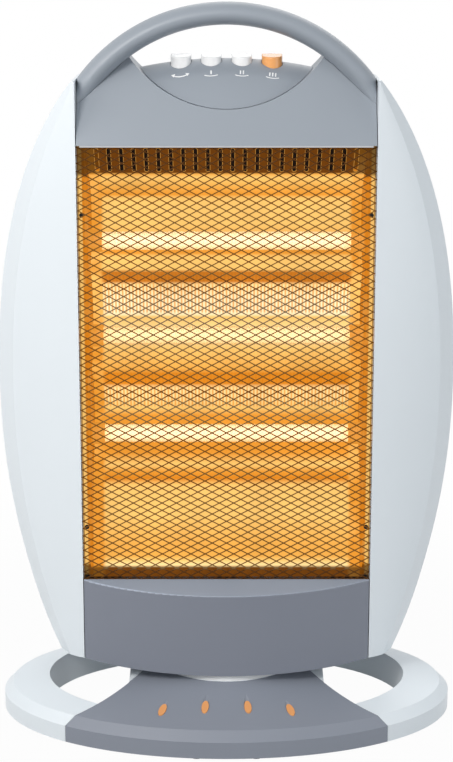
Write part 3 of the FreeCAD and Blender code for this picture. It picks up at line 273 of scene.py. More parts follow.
ROLLED_ALONG_X = 0.02
rolled, rolled_in, rolled_out = effect(
    "rolled_sheet",
    [("Colour", COLOUR, (0.6, 0.6, 0.6, 1)), ("Lines", NUMBER, 900.0), ("Drift", NUMBER, 0.08),
     ("Roughness", NUMBER, 0.3), ("Spread", NUMBER, 0.08)], SURFACE)
where = add(rolled, "ShaderNodeTexCoord")
stretch = add(rolled, "ShaderNodeMapping")
stretch.inputs["Scale"].default_value = (ROLLED_ALONG_X, 1.0, 1.0)
lines = set_inputs(add(rolled, "ShaderNodeTexNoise"), Detail=3.0)
rolled.links.new(where.outputs["Object"], stretch.inputs["Vector"])
rolled.links.new(stretch.outputs[0], lines.inputs["Vector"])
rolled.links.new(rolled_in.outputs["Lines"], lines.inputs["Scale"])
surface_from(rolled, rolled_in, rolled_out, lines.outputs[0], lines.outputs[0])
print("effects:", skin.name, rolled.name)

# %% [markdown]
# ## Plastic, rubber and metal finishes
# A finish places one effect, joins it to the shader and adds a very shallow bump. The white
# shells are smooth and slightly glossy, the grey middle is satin with a coarser grain, and the
# keys are polished. Values that are the same all over are set on the shader itself.

# %% Finishes from the effects
BUMP_DEPTH = 0.0002


def finish(name, group, colour, values, bump, **shader_values):
    made = bpy.data.materials.new(name)
    made.use_nodes = True
    tree = made.node_tree
    shader = tree.nodes["Principled BSDF"]
    surface = add(tree, "ShaderNodeGroup", node_tree=group)
    surface.inputs["Colour"].default_value = (*colour, 1)
    for key, value in values.items():
        surface.inputs[key].default_value = value
    relief = set_inputs(add(tree, "ShaderNodeBump"), Strength=bump, Distance=BUMP_DEPTH)
    tree.links.new(surface.outputs["Colour"], shader.inputs["Base Color"])
    tree.links.new(surface.outputs["Roughness"], shader.inputs["Roughness"])
    tree.links.new(surface.outputs["Height"], relief.inputs["Height"])
    tree.links.new(relief.outputs[0], shader.inputs["Normal"])
    set_inputs(shader, **shader_values)
    return made


def satin_grey(name, colour, roughness, **shader_values):
    values = {"Drift": 0.03, "Grain": 1600.0, "Roughness": roughness, "Spread": 0.07}
    return finish(name, skin, colour, values, 0.10, **shader_values)


GREY = (0.295, 0.330, 0.375)
finishes = {
    "white_plastic": finish("white_shell_plastic", skin, (0.78, 0.840, 0.885),
                            {"Drift": 0.012, "Grain": 1100.0, "Roughness": 0.36, "Spread": 0.04}, 0.04),
    "grey_plastic": satin_grey("grey_satin_plastic", GREY, 0.42),
    "black_plastic": finish("black_switch_plastic", skin, (0.022, 0.022, 0.024),
                            {"Drift": 0.1, "Roughness": 0.5}, 0.10),
    "button_white": finish("white_key_plastic", skin, (0.93, 0.935, 0.94),
                           {"Drift": 0.01, "Roughness": 0.26, "Spread": 0.03}, 0.02),
    "button_orange": finish("orange_key_plastic", skin, (0.92, 0.42, 0.14),
                            {"Drift": 0.03, "Roughness": 0.26, "Spread": 0.03}, 0.02),
    "ceramic": finish("unglazed_ceramic", skin, (0.80, 0.77, 0.70),
                      {"Drift": 0.05, "Grain": 2600.0, "Roughness": 0.75}, 0.15),
    "rubber": finish("foot_rubber", skin, (0.028, 0.028, 0.03),
                     {"Drift": 0.12, "Grain": 1900.0, "Roughness": 0.8}, 0.20),
    "acetal": finish("turntable_acetal", skin, (0.80, 0.81, 0.82),
                     {"Drift": 0.015, "Roughness": 0.34}, 0.03),
    "board": finish("circuit_board", skin, (0.05, 0.16, 0.06),
                    {"Drift": 0.15, "Roughness": 0.42}, 0.10),
    "zinc_steel": finish("zinc_plated_steel", rolled, (0.60, 0.60, 0.61),
                         {"Roughness": 0.32}, 0.08, Metallic=1.0),
    "dark_steel": finish("dark_painted_sheet", skin, (0.045, 0.046, 0.05),
                         {"Drift": 0.1, "Grain": 2200.0, "Roughness": 0.5}, 0.12),
    "brass": finish("cut_out_brass", rolled, (0.70, 0.50, 0.22), {"Roughness": 0.3}, 0.06, Metallic=1.0),
}
rear_cover_shaded_inside = satin_grey("grey_rear_plastic_painted_shade", GREY, 0.46, Specular_IOR_Level=0.15)
# Darker copies of the grey. The lower panel's is partly its own darker tone and partly painted shade on its
# upright face; the base insert's is painted shade where the body hangs over it.
lower_panel_shade_and_light = satin_grey("grey_lower_plastic_painted_light_and_shade", (0.203, 0.222, 0.270), 0.44)
insert_grey_shaded = satin_grey("grey_insert_plastic_painted_shade", (0.240, 0.264, 0.314), 0.44)
print(len(finishes), "finishes and three more greys made from", skin.name, "and", rolled.name)

# %% [markdown]
# Two mouldings change their surface from side to side. The rear cover is grey outside and near
# black inside, painted shade for the dark inside of the body. The lower front panel has a lighter
# ledge on top, a painted highlight where light falls from above, and is near black behind the guard,
# painted shade. Each is one solid, so the side is told by the surface's normal or its place.

# %% Sides told by normal or place
# Painted shade: a near black for the inside of the rear cover and the lower panel behind the guard.
PAINTED_SHADE = (0.022, 0.009, 0.003)
LEDGE_LIGHT = (0.415, 0.475, 0.575)


def other_side(made, told_by, axis, from_min, from_max, colour):
    """Another colour where the surface's normal or place along an axis lies past the second number."""
    tree = made.node_tree
    shader = tree.nodes["Principled BSDF"]
    side = add(tree, "ShaderNodeTexCoord")
    facing = add(tree, "ShaderNodeSeparateXYZ")
    share = set_inputs(add(tree, "ShaderNodeMapRange"), From_Min=from_min, From_Max=from_max)
    coat = add(tree, "ShaderNodeMix", data_type="RGBA")
    coat.inputs[7].default_value = (*colour, 1)
    tree.links.new(side.outputs[told_by], facing.inputs[0])
    tree.links.new(facing.outputs[axis], share.inputs["Value"])
    tree.links.new(share.outputs[0], coat.inputs[0])
    tree.links.new(shader.inputs["Base Color"].links[0].from_socket, coat.inputs[6])
    tree.links.new(coat.outputs[2], shader.inputs["Base Color"])


SHADE_EDGE = 0.0005
guard_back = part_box("guard_mesh")[1].y
# Painted shade: the rear cover's inside faces, which face the front, turn near black.
other_side(rear_cover_shaded_inside, "Normal", "Y", -0.3, -0.6, PAINTED_SHADE)
# Painted highlight: the lower panel's upward faces, the ledge, are lighter than its upright face.
other_side(lower_panel_shade_and_light, "Normal", "Z", 0.5, 0.8, LEDGE_LIGHT)
# Painted shade: the lower panel turns near black where it lies behind the guard.
other_side(lower_panel_shade_and_light, "Object", "Y", guard_back - SHADE_EDGE, guard_back, PAINTED_SHADE)
print("painted shade and ledge light ready")

# %% [markdown]
# ## Glow
# The heater is shown at work. Each tube lights its own trough of the reflector, so the bright
# sheet shows bands: pale where a trough looks at its tube, dark orange where a ridge turns
# away, and fine upright ribs where the coil is mirrored. Lighting all that by the tubes alone
# would take far more samples, so one node group paints that light and reflection by height, in a
# few tones from brown to near white, onto the reflector and, much weaker, onto the guard.

# %% Band group
BROWN = (0.10, 0.030, 0.003)
RIDGE = (0.50, 0.150, 0.012)
EMBER = (0.66, 0.205, 0.010)
ORANGE = (0.76, 0.290, 0.030)
AMBER = (0.80, 0.380, 0.070)
PALE = (0.88, 0.520, 0.145)
CREAM = (0.96, 0.705, 0.320)
BLAZE = (1.00, 0.850, 0.530)
BAND_STOPS = [
    (0.1120, BROWN), (0.1195, BROWN), (0.1215, CREAM), (0.1255, PALE), (0.1285, AMBER), (0.1370, AMBER),
    (0.1600, PALE), (0.1830, PALE), (0.1880, EMBER), (0.1930, ORANGE), (0.1985, PALE), (0.2055, ORANGE),
    (0.2325, ORANGE), (0.2385, PALE), (0.2470, CREAM), (0.2555, CREAM), (0.2600, EMBER), (0.2700, EMBER),
    (0.2755, AMBER), (0.2880, PALE), (0.2985, CREAM), (0.3120, PALE), (0.3150, BLAZE), (0.3290, BLAZE),
    (0.3390, CREAM), (0.3420, RIDGE), (0.3510, RIDGE), (0.3545, PALE), (0.3620, PALE), (0.3645, ORANGE),
    (0.3860, PALE), (0.3880, PALE), (0.4060, PALE), (0.4090, ORANGE), (0.4160, AMBER), (0.4235, PALE),
    (0.4270, AMBER), (0.4285, BROWN), (0.4480, BROWN)]
RIB_STOPS = [(0.2385, 0.0), (0.2410, 1.0), (0.2540, 1.0), (0.2580, 0.35), (0.3140, 0.0),
             (0.3165, 1.0), (0.3370, 1.0), (0.3420, 0.3), (0.3560, 0.0)]
RIB_PITCH = 0.0027
RIB_SCALE = 2 * pi / (20 * RIB_PITCH)  # a wave texture draws 20 / (2 pi) bands to a unit of scale
SIDE_FROM, SIDE_TO = 0.0945, 0.0975
END_STOPS = [(0.1120, 0.20), (0.1195, 0.20), (0.1215, 1.0), (0.4265, 1.0), (0.4285, 0.20), (0.4500, 0.16)]


def ramp_over_height(tree, height, stops):
    """A colour ramp whose stops are heights in metres. One ramp holds up to 32 stops."""
    share = add(tree, "ShaderNodeMapRange")
    set_inputs(share, From_Min=stops[0][0], From_Max=stops[-1][0])
    tree.links.new(height, share.inputs["Value"])
    ramp = add(tree, "ShaderNodeValToRGB")
    points = ramp.color_ramp.elements
    span = stops[-1][0] - stops[0][0]
    while len(points) < len(stops):
        points.new(0.5)
    for point, (z, value) in zip(points, stops):
        point.position = (z - stops[0][0]) / span
        point.color = (*value, 1) if isinstance(value, tuple) else (value, value, value, 1)
    tree.links.new(share.outputs[0], ramp.inputs[0])
    return ramp.outputs[0]


def mix_colour(tree, factor, first, second, blend="MIX"):
    made = add(tree, "ShaderNodeMix", data_type="RGBA", blend_type=blend)
    for socket, end in ((made.inputs[0], factor), (made.inputs[6], first), (made.inputs[7], second)):
        if isinstance(end, (int, float)):
            socket.default_value = end
        elif isinstance(end, tuple):
            socket.default_value = (*end, 1)
        else:
            tree.links.new(end, socket)
    return made.outputs[2]


bands, bands_in, bands_out = effect(
    "painted_tube_light_bands", [("Level", NUMBER, 1.0), ("Ribs", NUMBER, 0.5)], [("Colour", COLOUR)])
where = add(bands, "ShaderNodeTexCoord")
axes = add(bands, "ShaderNodeSeparateXYZ")
bands.links.new(where.outputs["Object"], axes.inputs[0])
middle = len(BAND_STOPS) // 2
low_half = ramp_over_height(bands, axes.outputs["Z"], BAND_STOPS[:middle + 1])
high_half = ramp_over_height(bands, axes.outputs["Z"], BAND_STOPS[middle:])
above = maths(bands, axes.outputs["Z"], BAND_STOPS[middle][0], "GREATER_THAN")
banded = mix_colour(bands, above, low_half, high_half)

rib = add(bands, "ShaderNodeTexWave", wave_type="BANDS", bands_direction="X")
set_inputs(rib, Scale=RIB_SCALE, Distortion=0.4, Detail=1.0)
bands.links.new(where.outputs["Object"], rib.inputs["Vector"])
rib_zone = ramp_over_height(bands, axes.outputs["Z"], RIB_STOPS)
rib_share = maths(bands, rib_zone, bands_in.outputs["Ribs"], "MULTIPLY")
between_ribs = maths(bands, 1.0, rib.outputs["Fac"], "SUBTRACT")
rib_dark = maths(bands, between_ribs, rib_share, "MULTIPLY")
ribbed = mix_colour(bands, rib_dark, banded, ORANGE)

sideways = maths(bands, axes.outputs["X"], 0.0, "ABSOLUTE")
at_side = add(bands, "ShaderNodeMapRange")
set_inputs(at_side, From_Min=SIDE_FROM, From_Max=SIDE_TO)
bands.links.new(sideways, at_side.inputs["Value"])
patchy = set_inputs(add(bands, "ShaderNodeTexNoise"), Scale=26.0, Detail=4.0)
bands.links.new(where.outputs["Object"], patchy.inputs["Vector"])
side_tone = mix_colour(bands, spread(bands, patchy.outputs[0], -0.6, 0.8), ORANGE, PALE)
lit_heights = ramp_over_height(bands, axes.outputs["Z"], END_STOPS)
sided = mix_colour(bands, at_side.outputs[0], ribbed, scaled_colour(bands, side_tone, lit_heights))
uneven = spread(bands, patchy.outputs[0], 0.86, 1.1)
level = maths(bands, uneven, bands_in.outputs["Level"], "MULTIPLY")
bands.links.new(scaled_colour(bands, sided, level), bands_out.inputs["Colour"])
print("bands:", len(BAND_STOPS), "stops between", BAND_STOPS[0][0], "and", BAND_STOPS[-1][0])

# %% [markdown]
# The reflector is bright rolled sheet that takes on the bands as painted light of its own, on its
# front only. The brackets and chassis plates beside it are upright columns, on which a second group
# paints light: a dark orange strip next to the reflector and a pale one at the window's edge.

# %% Glowing sheet
# A dark amber base: the tubes' warm light painted into the sheet's colour, kept dark so the lamps don't
# wash out the painted glow.
GLOW_TINTED_SHEET = (0.10, 0.035, 0.004)


def lit_side(tree):
    """1 where a sheet faces the tubes, which stand before it, and 0 on its back."""
    side = add(tree, "ShaderNodeTexCoord")
    facing = add(tree, "ShaderNodeSeparateXYZ")
    share = set_inputs(add(tree, "ShaderNodeMapRange"), From_Min=0.25, From_Max=0.05)
    tree.links.new(side.outputs["Normal"], facing.inputs[0])
    tree.links.new(facing.outputs["Y"], share.inputs["Value"])
    return share.outputs[0]


def lit_by(made, group, **values):
    """Gives a finish the colour of a group as light of its own."""
    tree = made.node_tree
    shader = set_inputs(tree.nodes["Principled BSDF"], Emission_Strength=1.0)
    warm = set_inputs(add(tree, "ShaderNodeGroup", node_tree=group), **values)
    tree.links.new(warm.outputs["Colour"], shader.inputs["Emission Color"])
    return made


def lit_piece(name, group, colour, glow, strength, **shader_values):
    """A piece near the tubes that shines evenly in their light."""
    return finish(name, group, colour, {"Roughness": 0.5, "Drift": 0.1}, 0.08,
                  Emission_Color=(*glow, 1), Emission_Strength=strength, **shader_values)


reflector_finish = finish("lit_reflector_sheet", rolled, GLOW_TINTED_SHEET, {"Roughness": 0.42, "Drift": 0.06},
                          0.05, Specular_IOR_Level=0.05)
lit_by(reflector_finish, bands, Level=1.18, Ribs=0.85)
sheet = reflector_finish.node_tree
sheet.links.new(lit_side(sheet), sheet.nodes["Principled BSDF"].inputs["Emission Strength"])
finishes["reflector_sheet"] = reflector_finish

COLUMN_EDGE = 0.1086
COLUMN_FADE = 0.0006
columns, columns_in, columns_out = effect("lit_columns", [("Level", NUMBER, 1.0)], [("Colour", COLOUR)])
where = add(columns, "ShaderNodeTexCoord")
axes = add(columns, "ShaderNodeSeparateXYZ")
columns.links.new(where.outputs["Object"], axes.inputs[0])
outward = add(columns, "ShaderNodeMapRange")
set_inputs(outward, From_Min=COLUMN_EDGE, From_Max=COLUMN_EDGE + COLUMN_FADE)
columns.links.new(maths(columns, axes.outputs["X"], 0.0, "ABSOLUTE"), outward.inputs["Value"])
strips = mix_colour(columns, outward.outputs[0], EMBER, PALE)
ends = ramp_over_height(columns, axes.outputs["Z"], END_STOPS)
patchy = set_inputs(add(columns, "ShaderNodeTexNoise"), Scale=60.0, Detail=3.0)
columns.links.new(where.outputs["Object"], patchy.inputs["Vector"])
blotched = mix_colour(columns, spread(columns, patchy.outputs[0], -0.2, 0.3), strips, PALE)
level = maths(columns, ends, columns_in.outputs["Level"], "MULTIPLY")
columns.links.new(scaled_colour(columns, blotched, level), columns_out.inputs["Colour"])

column_finish = finish("lit_column_sheet", rolled, GLOW_TINTED_SHEET, {"Roughness": 0.5, "Drift": 0.1}, 0.08,
                       Specular_IOR_Level=0.05)
lit_by(column_finish, columns, Level=1.0)
cap_finish = lit_piece("lit_ceramic", skin, (0.26, 0.11, 0.025), ORANGE, 0.95)
print("lit sheet finishes ready")

# %% [markdown]
# The tubes are frosted quartz around a glowing coil. Frosting scatters the light, so the tube
# itself shines, whiter in its middle than at its ends, with faint ribs from the coil inside.

# %% Tubes, coil and lenses
TUBE_END_FROM, TUBE_END_TO = 0.088, 0.099
TUBE_RIM = 0.64


def shining(name, base, hot, cool, strength, roughness, ribs, **shader_values):
    made = bpy.data.materials.new(name)
    made.use_nodes = True
    tree = made.node_tree
    shader = tree.nodes["Principled BSDF"]
    set_inputs(shader, Base_Color=(*base, 1), Roughness=roughness, Emission_Strength=strength,
               **shader_values)
    where = add(tree, "ShaderNodeTexCoord")
    axes = add(tree, "ShaderNodeSeparateXYZ")
    tree.links.new(where.outputs["Object"], axes.inputs[0])
    out = maths(tree, axes.outputs["X"], 0.0, "ABSOLUTE")
    fade = add(tree, "ShaderNodeMapRange")
    set_inputs(fade, From_Min=TUBE_END_FROM, From_Max=TUBE_END_TO)
    tree.links.new(out, fade.inputs["Value"])
    rim = set_inputs(add(tree, "ShaderNodeLayerWeight"), Blend=TUBE_RIM)
    ends = mix_colour(tree, maths(tree, fade.outputs[0], rim.outputs["Facing"], "MAXIMUM"), hot, cool)
    rib = add(tree, "ShaderNodeTexWave", wave_type="BANDS", bands_direction="X")
    set_inputs(rib, Scale=RIB_SCALE, Distortion=0.4)
    tree.links.new(where.outputs["Object"], rib.inputs["Vector"])
    ribbed = mix_colour(tree, maths(tree, rib.outputs["Fac"], ribs, "MULTIPLY"), ends, cool)
    tree.links.new(ribbed, shader.inputs["Emission Color"])
    return made


HOT = (1.0, 0.70, 0.39)
WIRE_HOT = (1.0, 0.74, 0.36)
FROSTED = {"roughness": 0.35, "ribs": 0.25, "Transmission_Weight": 0.4, "IOR": 1.46}
finishes["quartz"] = shining("frosted_quartz", (0.92, 0.82, 0.66), HOT, AMBER, 0.78, **FROSTED)
middle_quartz = shining("frosted_quartz_low", (0.90, 0.76, 0.56), CREAM, AMBER, 0.66, **FROSTED)
finishes["filament"] = shining("glowing_coil_wire", (0.9, 0.5, 0.15), WIRE_HOT, AMBER, 1.6, 0.5, 0.0)
finishes["lens_orange"] = finish(
    "orange_lens_plastic", skin, (0.74, 0.34, 0.13), {"Drift": 0.06, "Roughness": 0.2}, 0.03,
    Emission_Color=(1.0, 0.33, 0.05, 1), Emission_Strength=0.05)
# Painted light: the dark guard strands take a weak copy of the reflector's bands as light of their own.
finishes["guard_wire"] = lit_by(
    finish("guard_strand_steel_painted_glow", skin, (0.08, 0.030, 0.005), {"Roughness": 0.5, "Drift": 0.1}, 0.08,
           Specular_IOR_Level=0.1), bands, Level=0.15, Ribs=0.0)
print("lit finishes ready")

# %% [markdown]
# Each CAD node takes the finish of its slot, apart from a few that have one of their own. What
# shines by itself is kept out of the light of the other pieces, or the mouldings would turn orange.

# %% Dress the CAD nodes
own_finish = {
    "left_tube_bracket": column_finish, "right_tube_bracket": column_finish,
    "left_chassis_plate": column_finish, "right_chassis_plate": column_finish,
    "quartz_tube_middle": middle_quartz, "tube_end_caps": cap_finish, "rear_cover": rear_cover_shaded_inside,
    "lower_front_panel": lower_panel_shade_and_light, "base_front_insert": insert_grey_shaded}
for name, piece in cad_nodes.items():
    piece.data.materials.clear()
    piece.data.materials.append(own_finish.get(name, finishes[slot_of[name]]))
    if slot_of[name] in ("reflector_sheet", "quartz", "filament") or name.endswith("chassis_plate"):
        piece.visible_diffuse = False
        piece.visible_glossy = False
print("dressed", len(cad_nodes), "nodes")

# %% [markdown]
# ## Guard of expanded metal
# The guard is a sheet that was slit and stretched, so that it became rows of low diamonds. Two
# crossing strands and the small flat bond where they meet are one cell. Geometry Nodes set that
# cell on a grid of points and add the plain border, which keeps the count and the strand's
# thickness as two numbers that can be changed at any time.

# %% Tools for trees of geometry nodes
LENGTH, COUNT, FINISH = "NodeSocketFloat", "NodeSocketInt", "NodeSocketMaterial"
VECTOR = "NodeSocketVector"
UPRIGHT = (pi / 2, 0, 0)


def geometry_tree(name, inputs):
    tree = bpy.data.node_groups.new(name, "GeometryNodeTree")
    keys = {}
    for label, kind, value in inputs:
        socket = tree.interface.new_socket(label, in_out="INPUT", socket_type=kind)
        if value is not None:
            socket.default_value = value
        keys[label] = socket.identifier
    tree.interface.new_socket("Geometry", in_out="OUTPUT", socket_type="NodeSocketGeometry")
    return tree, keys, add(tree, "NodeGroupInput"), add(tree, "NodeGroupOutput")


def wire(tree, *pairs):
    for start, end in pairs:
        tree.links.new(start, end)


def vector(tree, x=None, y=None, z=None):
    made = add(tree, "ShaderNodeCombineXYZ")
    for socket, end in zip(made.inputs, (x, y, z)):
        if isinstance(end, (int, float)):
            socket.default_value = end
        elif end is not None:
            tree.links.new(end, socket)
    return made.outputs[0]


def settled(tree, geometry, material, out):
    """Ends a tree: real geometry in place of instances, with its material."""
    real = add(tree, "GeometryNodeRealizeInstances")
    coat = add(tree, "GeometryNodeSetMaterial")
    wire(tree, (geometry, real.inputs[0]), (real.outputs[0], coat.inputs["Geometry"]),
         (material, coat.inputs["Material"]), (coat.outputs[0], out.inputs["Geometry"]))


def grown(name, tree, keys, values, start=None):
    """Runs a tree once and keeps its result as a plain mesh object at the origin."""
    seed = bpy.data.objects.new(name + "_seed", start or bpy.data.meshes.new(name + "_seed"))
    bpy.context.scene.collection.objects.link(seed)
    modifier = seed.modifiers.new("grow", "NODES")
    modifier.node_group = tree
    for label, value in values.items():
        modifier[keys[label]] = value
    bpy.context.view_layer.update()
    mesh = bpy.data.meshes.new_from_object(seed.evaluated_get(bpy.context.evaluated_depsgraph_get()))
    bpy.data.objects.remove(seed)
    mesh.name = name
    piece = bpy.data.objects.new(name, mesh)
    bpy.context.scene.collection.objects.link(piece)
    print(name, len(mesh.polygons), "faces")
    return piece


# %% Guard
GUARD_COLUMNS = 20
GUARD_ROWS = 57
STRAND = 0.00052
BOND = 0.00062
BOND_STRETCH = 1.9
GUARD_EDGE = 0.0007

guard_low, guard_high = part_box("guard_mesh")
guard_size = guard_high - guard_low
guard_centre = (guard_low + guard_high) / 2

tree, keys, given, out = geometry_tree("expanded_metal", [
    ("Width", LENGTH, 0.2), ("Height", LENGTH, 0.3), ("Columns", COUNT, 20), ("Rows", COUNT, 57),
    ("Strand", LENGTH, 0.0005), ("Bond", LENGTH, 0.0006), ("Edge", LENGTH, 0.0007),
    ("Depth", LENGTH, 0.0008), ("Finish", FINISH, None)])
pitch_x = maths(tree, given.outputs["Width"], given.outputs["Columns"], "DIVIDE")
pitch_z = maths(tree, given.outputs["Height"], given.outputs["Rows"], "DIVIDE")
half_x = maths(tree, pitch_x, 0.5, "MULTIPLY")
half_z = maths(tree, pitch_z, 0.5, "MULTIPLY")
minus_x = maths(tree, half_x, -1.0, "MULTIPLY")
minus_z = maths(tree, half_z, -1.0, "MULTIPLY")
section = add(tree, "GeometryNodeCurvePrimitiveQuadrilateral")
wire(tree, (given.outputs["Strand"], section.inputs["Width"]),
     (given.outputs["Depth"], section.inputs["Height"]))
cell = add(tree, "GeometryNodeJoinGeometry")
for low_end, high_end in ((minus_z, half_z), (half_z, minus_z)):
    line = add(tree, "GeometryNodeCurvePrimitiveLine")
    wire(tree, (vector(tree, minus_x, 0.0, low_end), line.inputs["Start"]),
         (vector(tree, half_x, 0.0, high_end), line.inputs["End"]))
    strand = add(tree, "GeometryNodeCurveToMesh")
    wire(tree, (line.outputs[0], strand.inputs["Curve"]),
         (section.outputs[0], strand.inputs["Profile Curve"]), (strand.outputs[0], cell.inputs[0]))
bond = add(tree, "GeometryNodeMeshCylinder")
set_inputs(bond, Vertices=4)
wire(tree, (given.outputs["Bond"], bond.inputs["Radius"]), (given.outputs["Depth"], bond.inputs["Depth"]))
bond_flat = add(tree, "GeometryNodeTransform")
set_inputs(bond_flat, Rotation=UPRIGHT, Scale=(BOND_STRETCH, 1.0, 1.0))
wire(tree, (bond.outputs["Mesh"], bond_flat.inputs["Geometry"]), (bond_flat.outputs[0], cell.inputs[0]))


def upright_grid(tree, width, height, columns, rows):
    flat = add(tree, "GeometryNodeMeshGrid")
    wire(tree, (width, flat.inputs["Size X"]), (height, flat.inputs["Size Y"]),
         (columns, flat.inputs["Vertices X"]), (rows, flat.inputs["Vertices Y"]))
    turned = set_inputs(add(tree, "GeometryNodeTransform"), Rotation=UPRIGHT)
    wire(tree, (flat.outputs["Mesh"], turned.inputs["Geometry"]))
    return turned.outputs[0]


cells = add(tree, "GeometryNodeInstanceOnPoints")
inner = upright_grid(tree, maths(tree, given.outputs["Width"], pitch_x, "SUBTRACT"),
                     maths(tree, given.outputs["Height"], pitch_z, "SUBTRACT"),
                     given.outputs["Columns"], given.outputs["Rows"])
wire(tree, (inner, cells.inputs["Points"]), (cell.outputs[0], cells.inputs["Instance"]))
bonds = add(tree, "GeometryNodeInstanceOnPoints")
between = upright_grid(tree, given.outputs["Width"], given.outputs["Height"],
                       maths(tree, given.outputs["Columns"], 1.0, "ADD"),
                       maths(tree, given.outputs["Rows"], 1.0, "ADD"))
wire(tree, (between, bonds.inputs["Points"]), (bond_flat.outputs[0], bonds.inputs["Instance"]))
border = add(tree, "GeometryNodeCurvePrimitiveQuadrilateral")
for side in ("Width", "Height"):
    wire(tree, (maths(tree, given.outputs[side], given.outputs["Edge"], "SUBTRACT"), border.inputs[side]))
border_section = add(tree, "GeometryNodeCurvePrimitiveQuadrilateral")
wire(tree, (given.outputs["Edge"], border_section.inputs["Width"]),
     (given.outputs["Depth"], border_section.inputs["Height"]))
border_sheet = add(tree, "GeometryNodeCurveToMesh")
wire(tree, (border.outputs[0], border_sheet.inputs["Curve"]),
     (border_section.outputs[0], border_sheet.inputs["Profile Curve"]))
border_up = set_inputs(add(tree, "GeometryNodeTransform"), Rotation=UPRIGHT)
wire(tree, (border_sheet.outputs[0], border_up.inputs["Geometry"]))
whole = add(tree, "GeometryNodeJoinGeometry")
for part in (cells.outputs[0], bonds.outputs[0], border_up.outputs[0]):
    wire(tree, (part, whole.inputs[0]))
placed = set_inputs(add(tree, "GeometryNodeTransform"), Translation=tuple(guard_centre))
wire(tree, (whole.outputs[0], placed.inputs["Geometry"]))
settled(tree, placed.outputs[0], given.outputs["Finish"], out)

guard = grown("expanded_guard", tree, keys, {
    "Width": guard_size.x, "Height": guard_size.z, "Columns": GUARD_COLUMNS, "Rows": GUARD_ROWS,
    "Strand": STRAND, "Bond": BOND, "Edge": GUARD_EDGE, "Depth": guard_size.y,
    "Finish": finishes["guard_wire"]})
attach(guard, "heater_body")
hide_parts("guard_mesh")

# %% [markdown]
# ## Rims of the vent slots
# The reflector's upper band is pierced by a row of upright slots. Their edges are rolled outward,
# and each thin rolled edge catches the light of the tubes. One rounded loop is swept with a thin
# round section and set along a line of points, on the slope of the band.

# %% Slot rims
SLOT_COUNT = 22
SLOT_W = 0.0032
SLOT_SIDE = 0.0022
SLOT_LOW_Z, SLOT_HIGH_Z = 0.4294, 0.4486
BAND_FOOT = (0.0030, 0.4279)
BAND_TOP = (-0.0150, 0.4499)
SLOT_ROUND = 0.45
RIM = 0.00022

low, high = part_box("reflector")
slot_pitch = (high.x - low.x - 2 * SLOT_SIDE) / SLOT_COUNT
band_lean = (BAND_TOP[0] - BAND_FOOT[0]) / (BAND_TOP[1] - BAND_FOOT[1])
slot_z = (SLOT_LOW_Z + SLOT_HIGH_Z) / 2
slot_y = BAND_FOOT[0] + band_lean * (slot_z - BAND_FOOT[1])
slot_length = (SLOT_HIGH_Z - SLOT_LOW_Z) * (1 + band_lean ** 2) ** 0.5

tree, keys, given, out = geometry_tree("slot_rims", [
    ("Count", COUNT, 22), ("Pitch", LENGTH, 0.009), ("Width", LENGTH, 0.003), ("Length", LENGTH, 0.02),
    ("Rim", LENGTH, 0.0002), ("Turn", VECTOR, (0, 0, 0)), ("Place", VECTOR, (0, 0, 0)),
    ("Finish", FINISH, None)])
loop = add(tree, "GeometryNodeCurvePrimitiveQuadrilateral")
wire(tree, (given.outputs["Width"], loop.inputs["Width"]), (given.outputs["Length"], loop.inputs["Height"]))
rounded = set_inputs(add(tree, "GeometryNodeFilletCurve", mode="POLY"), Count=5)
wire(tree, (loop.outputs[0], rounded.inputs["Curve"]),
     (maths(tree, given.outputs["Width"], SLOT_ROUND, "MULTIPLY"), rounded.inputs["Radius"]))
section = set_inputs(add(tree, "GeometryNodeCurvePrimitiveCircle"), Resolution=6)
wire(tree, (given.outputs["Rim"], section.inputs["Radius"]))
rim = add(tree, "GeometryNodeCurveToMesh")
wire(tree, (rounded.outputs[0], rim.inputs["Curve"]), (section.outputs[0], rim.inputs["Profile Curve"]))
leaning = add(tree, "GeometryNodeTransform")
wire(tree, (rim.outputs[0], leaning.inputs["Geometry"]),
     (given.outputs["Turn"], leaning.inputs["Rotation"]))
row = add(tree, "GeometryNodeMeshLine")
wire(tree, (given.outputs["Count"], row.inputs["Count"]),
     (given.outputs["Place"], row.inputs["Start Location"]),
     (vector(tree, given.outputs["Pitch"], 0.0, 0.0), row.inputs["Offset"]))
rims = add(tree, "GeometryNodeInstanceOnPoints")
wire(tree, (row.outputs[0], rims.inputs["Points"]), (leaning.outputs[0], rims.inputs["Instance"]))
settled(tree, rims.outputs[0], given.outputs["Finish"], out)

rim_finish = lit_piece("lit_slot_rim", rolled, (0.20, 0.09, 0.02), AMBER, 0.55, Specular_IOR_Level=0.1)
rims = grown("slot_rims", tree, keys, {
    "Count": SLOT_COUNT, "Pitch": slot_pitch, "Width": SLOT_W, "Length": slot_length, "Rim": RIM,
    "Turn": (pi / 2 - atan(band_lean), 0, 0),
    "Place": (-slot_pitch * (SLOT_COUNT - 1) / 2, slot_y, slot_z), "Finish": rim_finish})
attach(rims, "heater_body")

# %% [markdown]
# ## Heating coils
# Inside each tube a resistance wire is wound into an open coil. A coil is a line that follows a
# rule, so one tree of Geometry Nodes draws a spiral, gives it the wire's section and lays it
# along the tube. The CAD model holds a plain bar of the same outside in its place.

# %% Coils
COIL_PITCH = 0.0030
COIL_WIRE = 0.00045

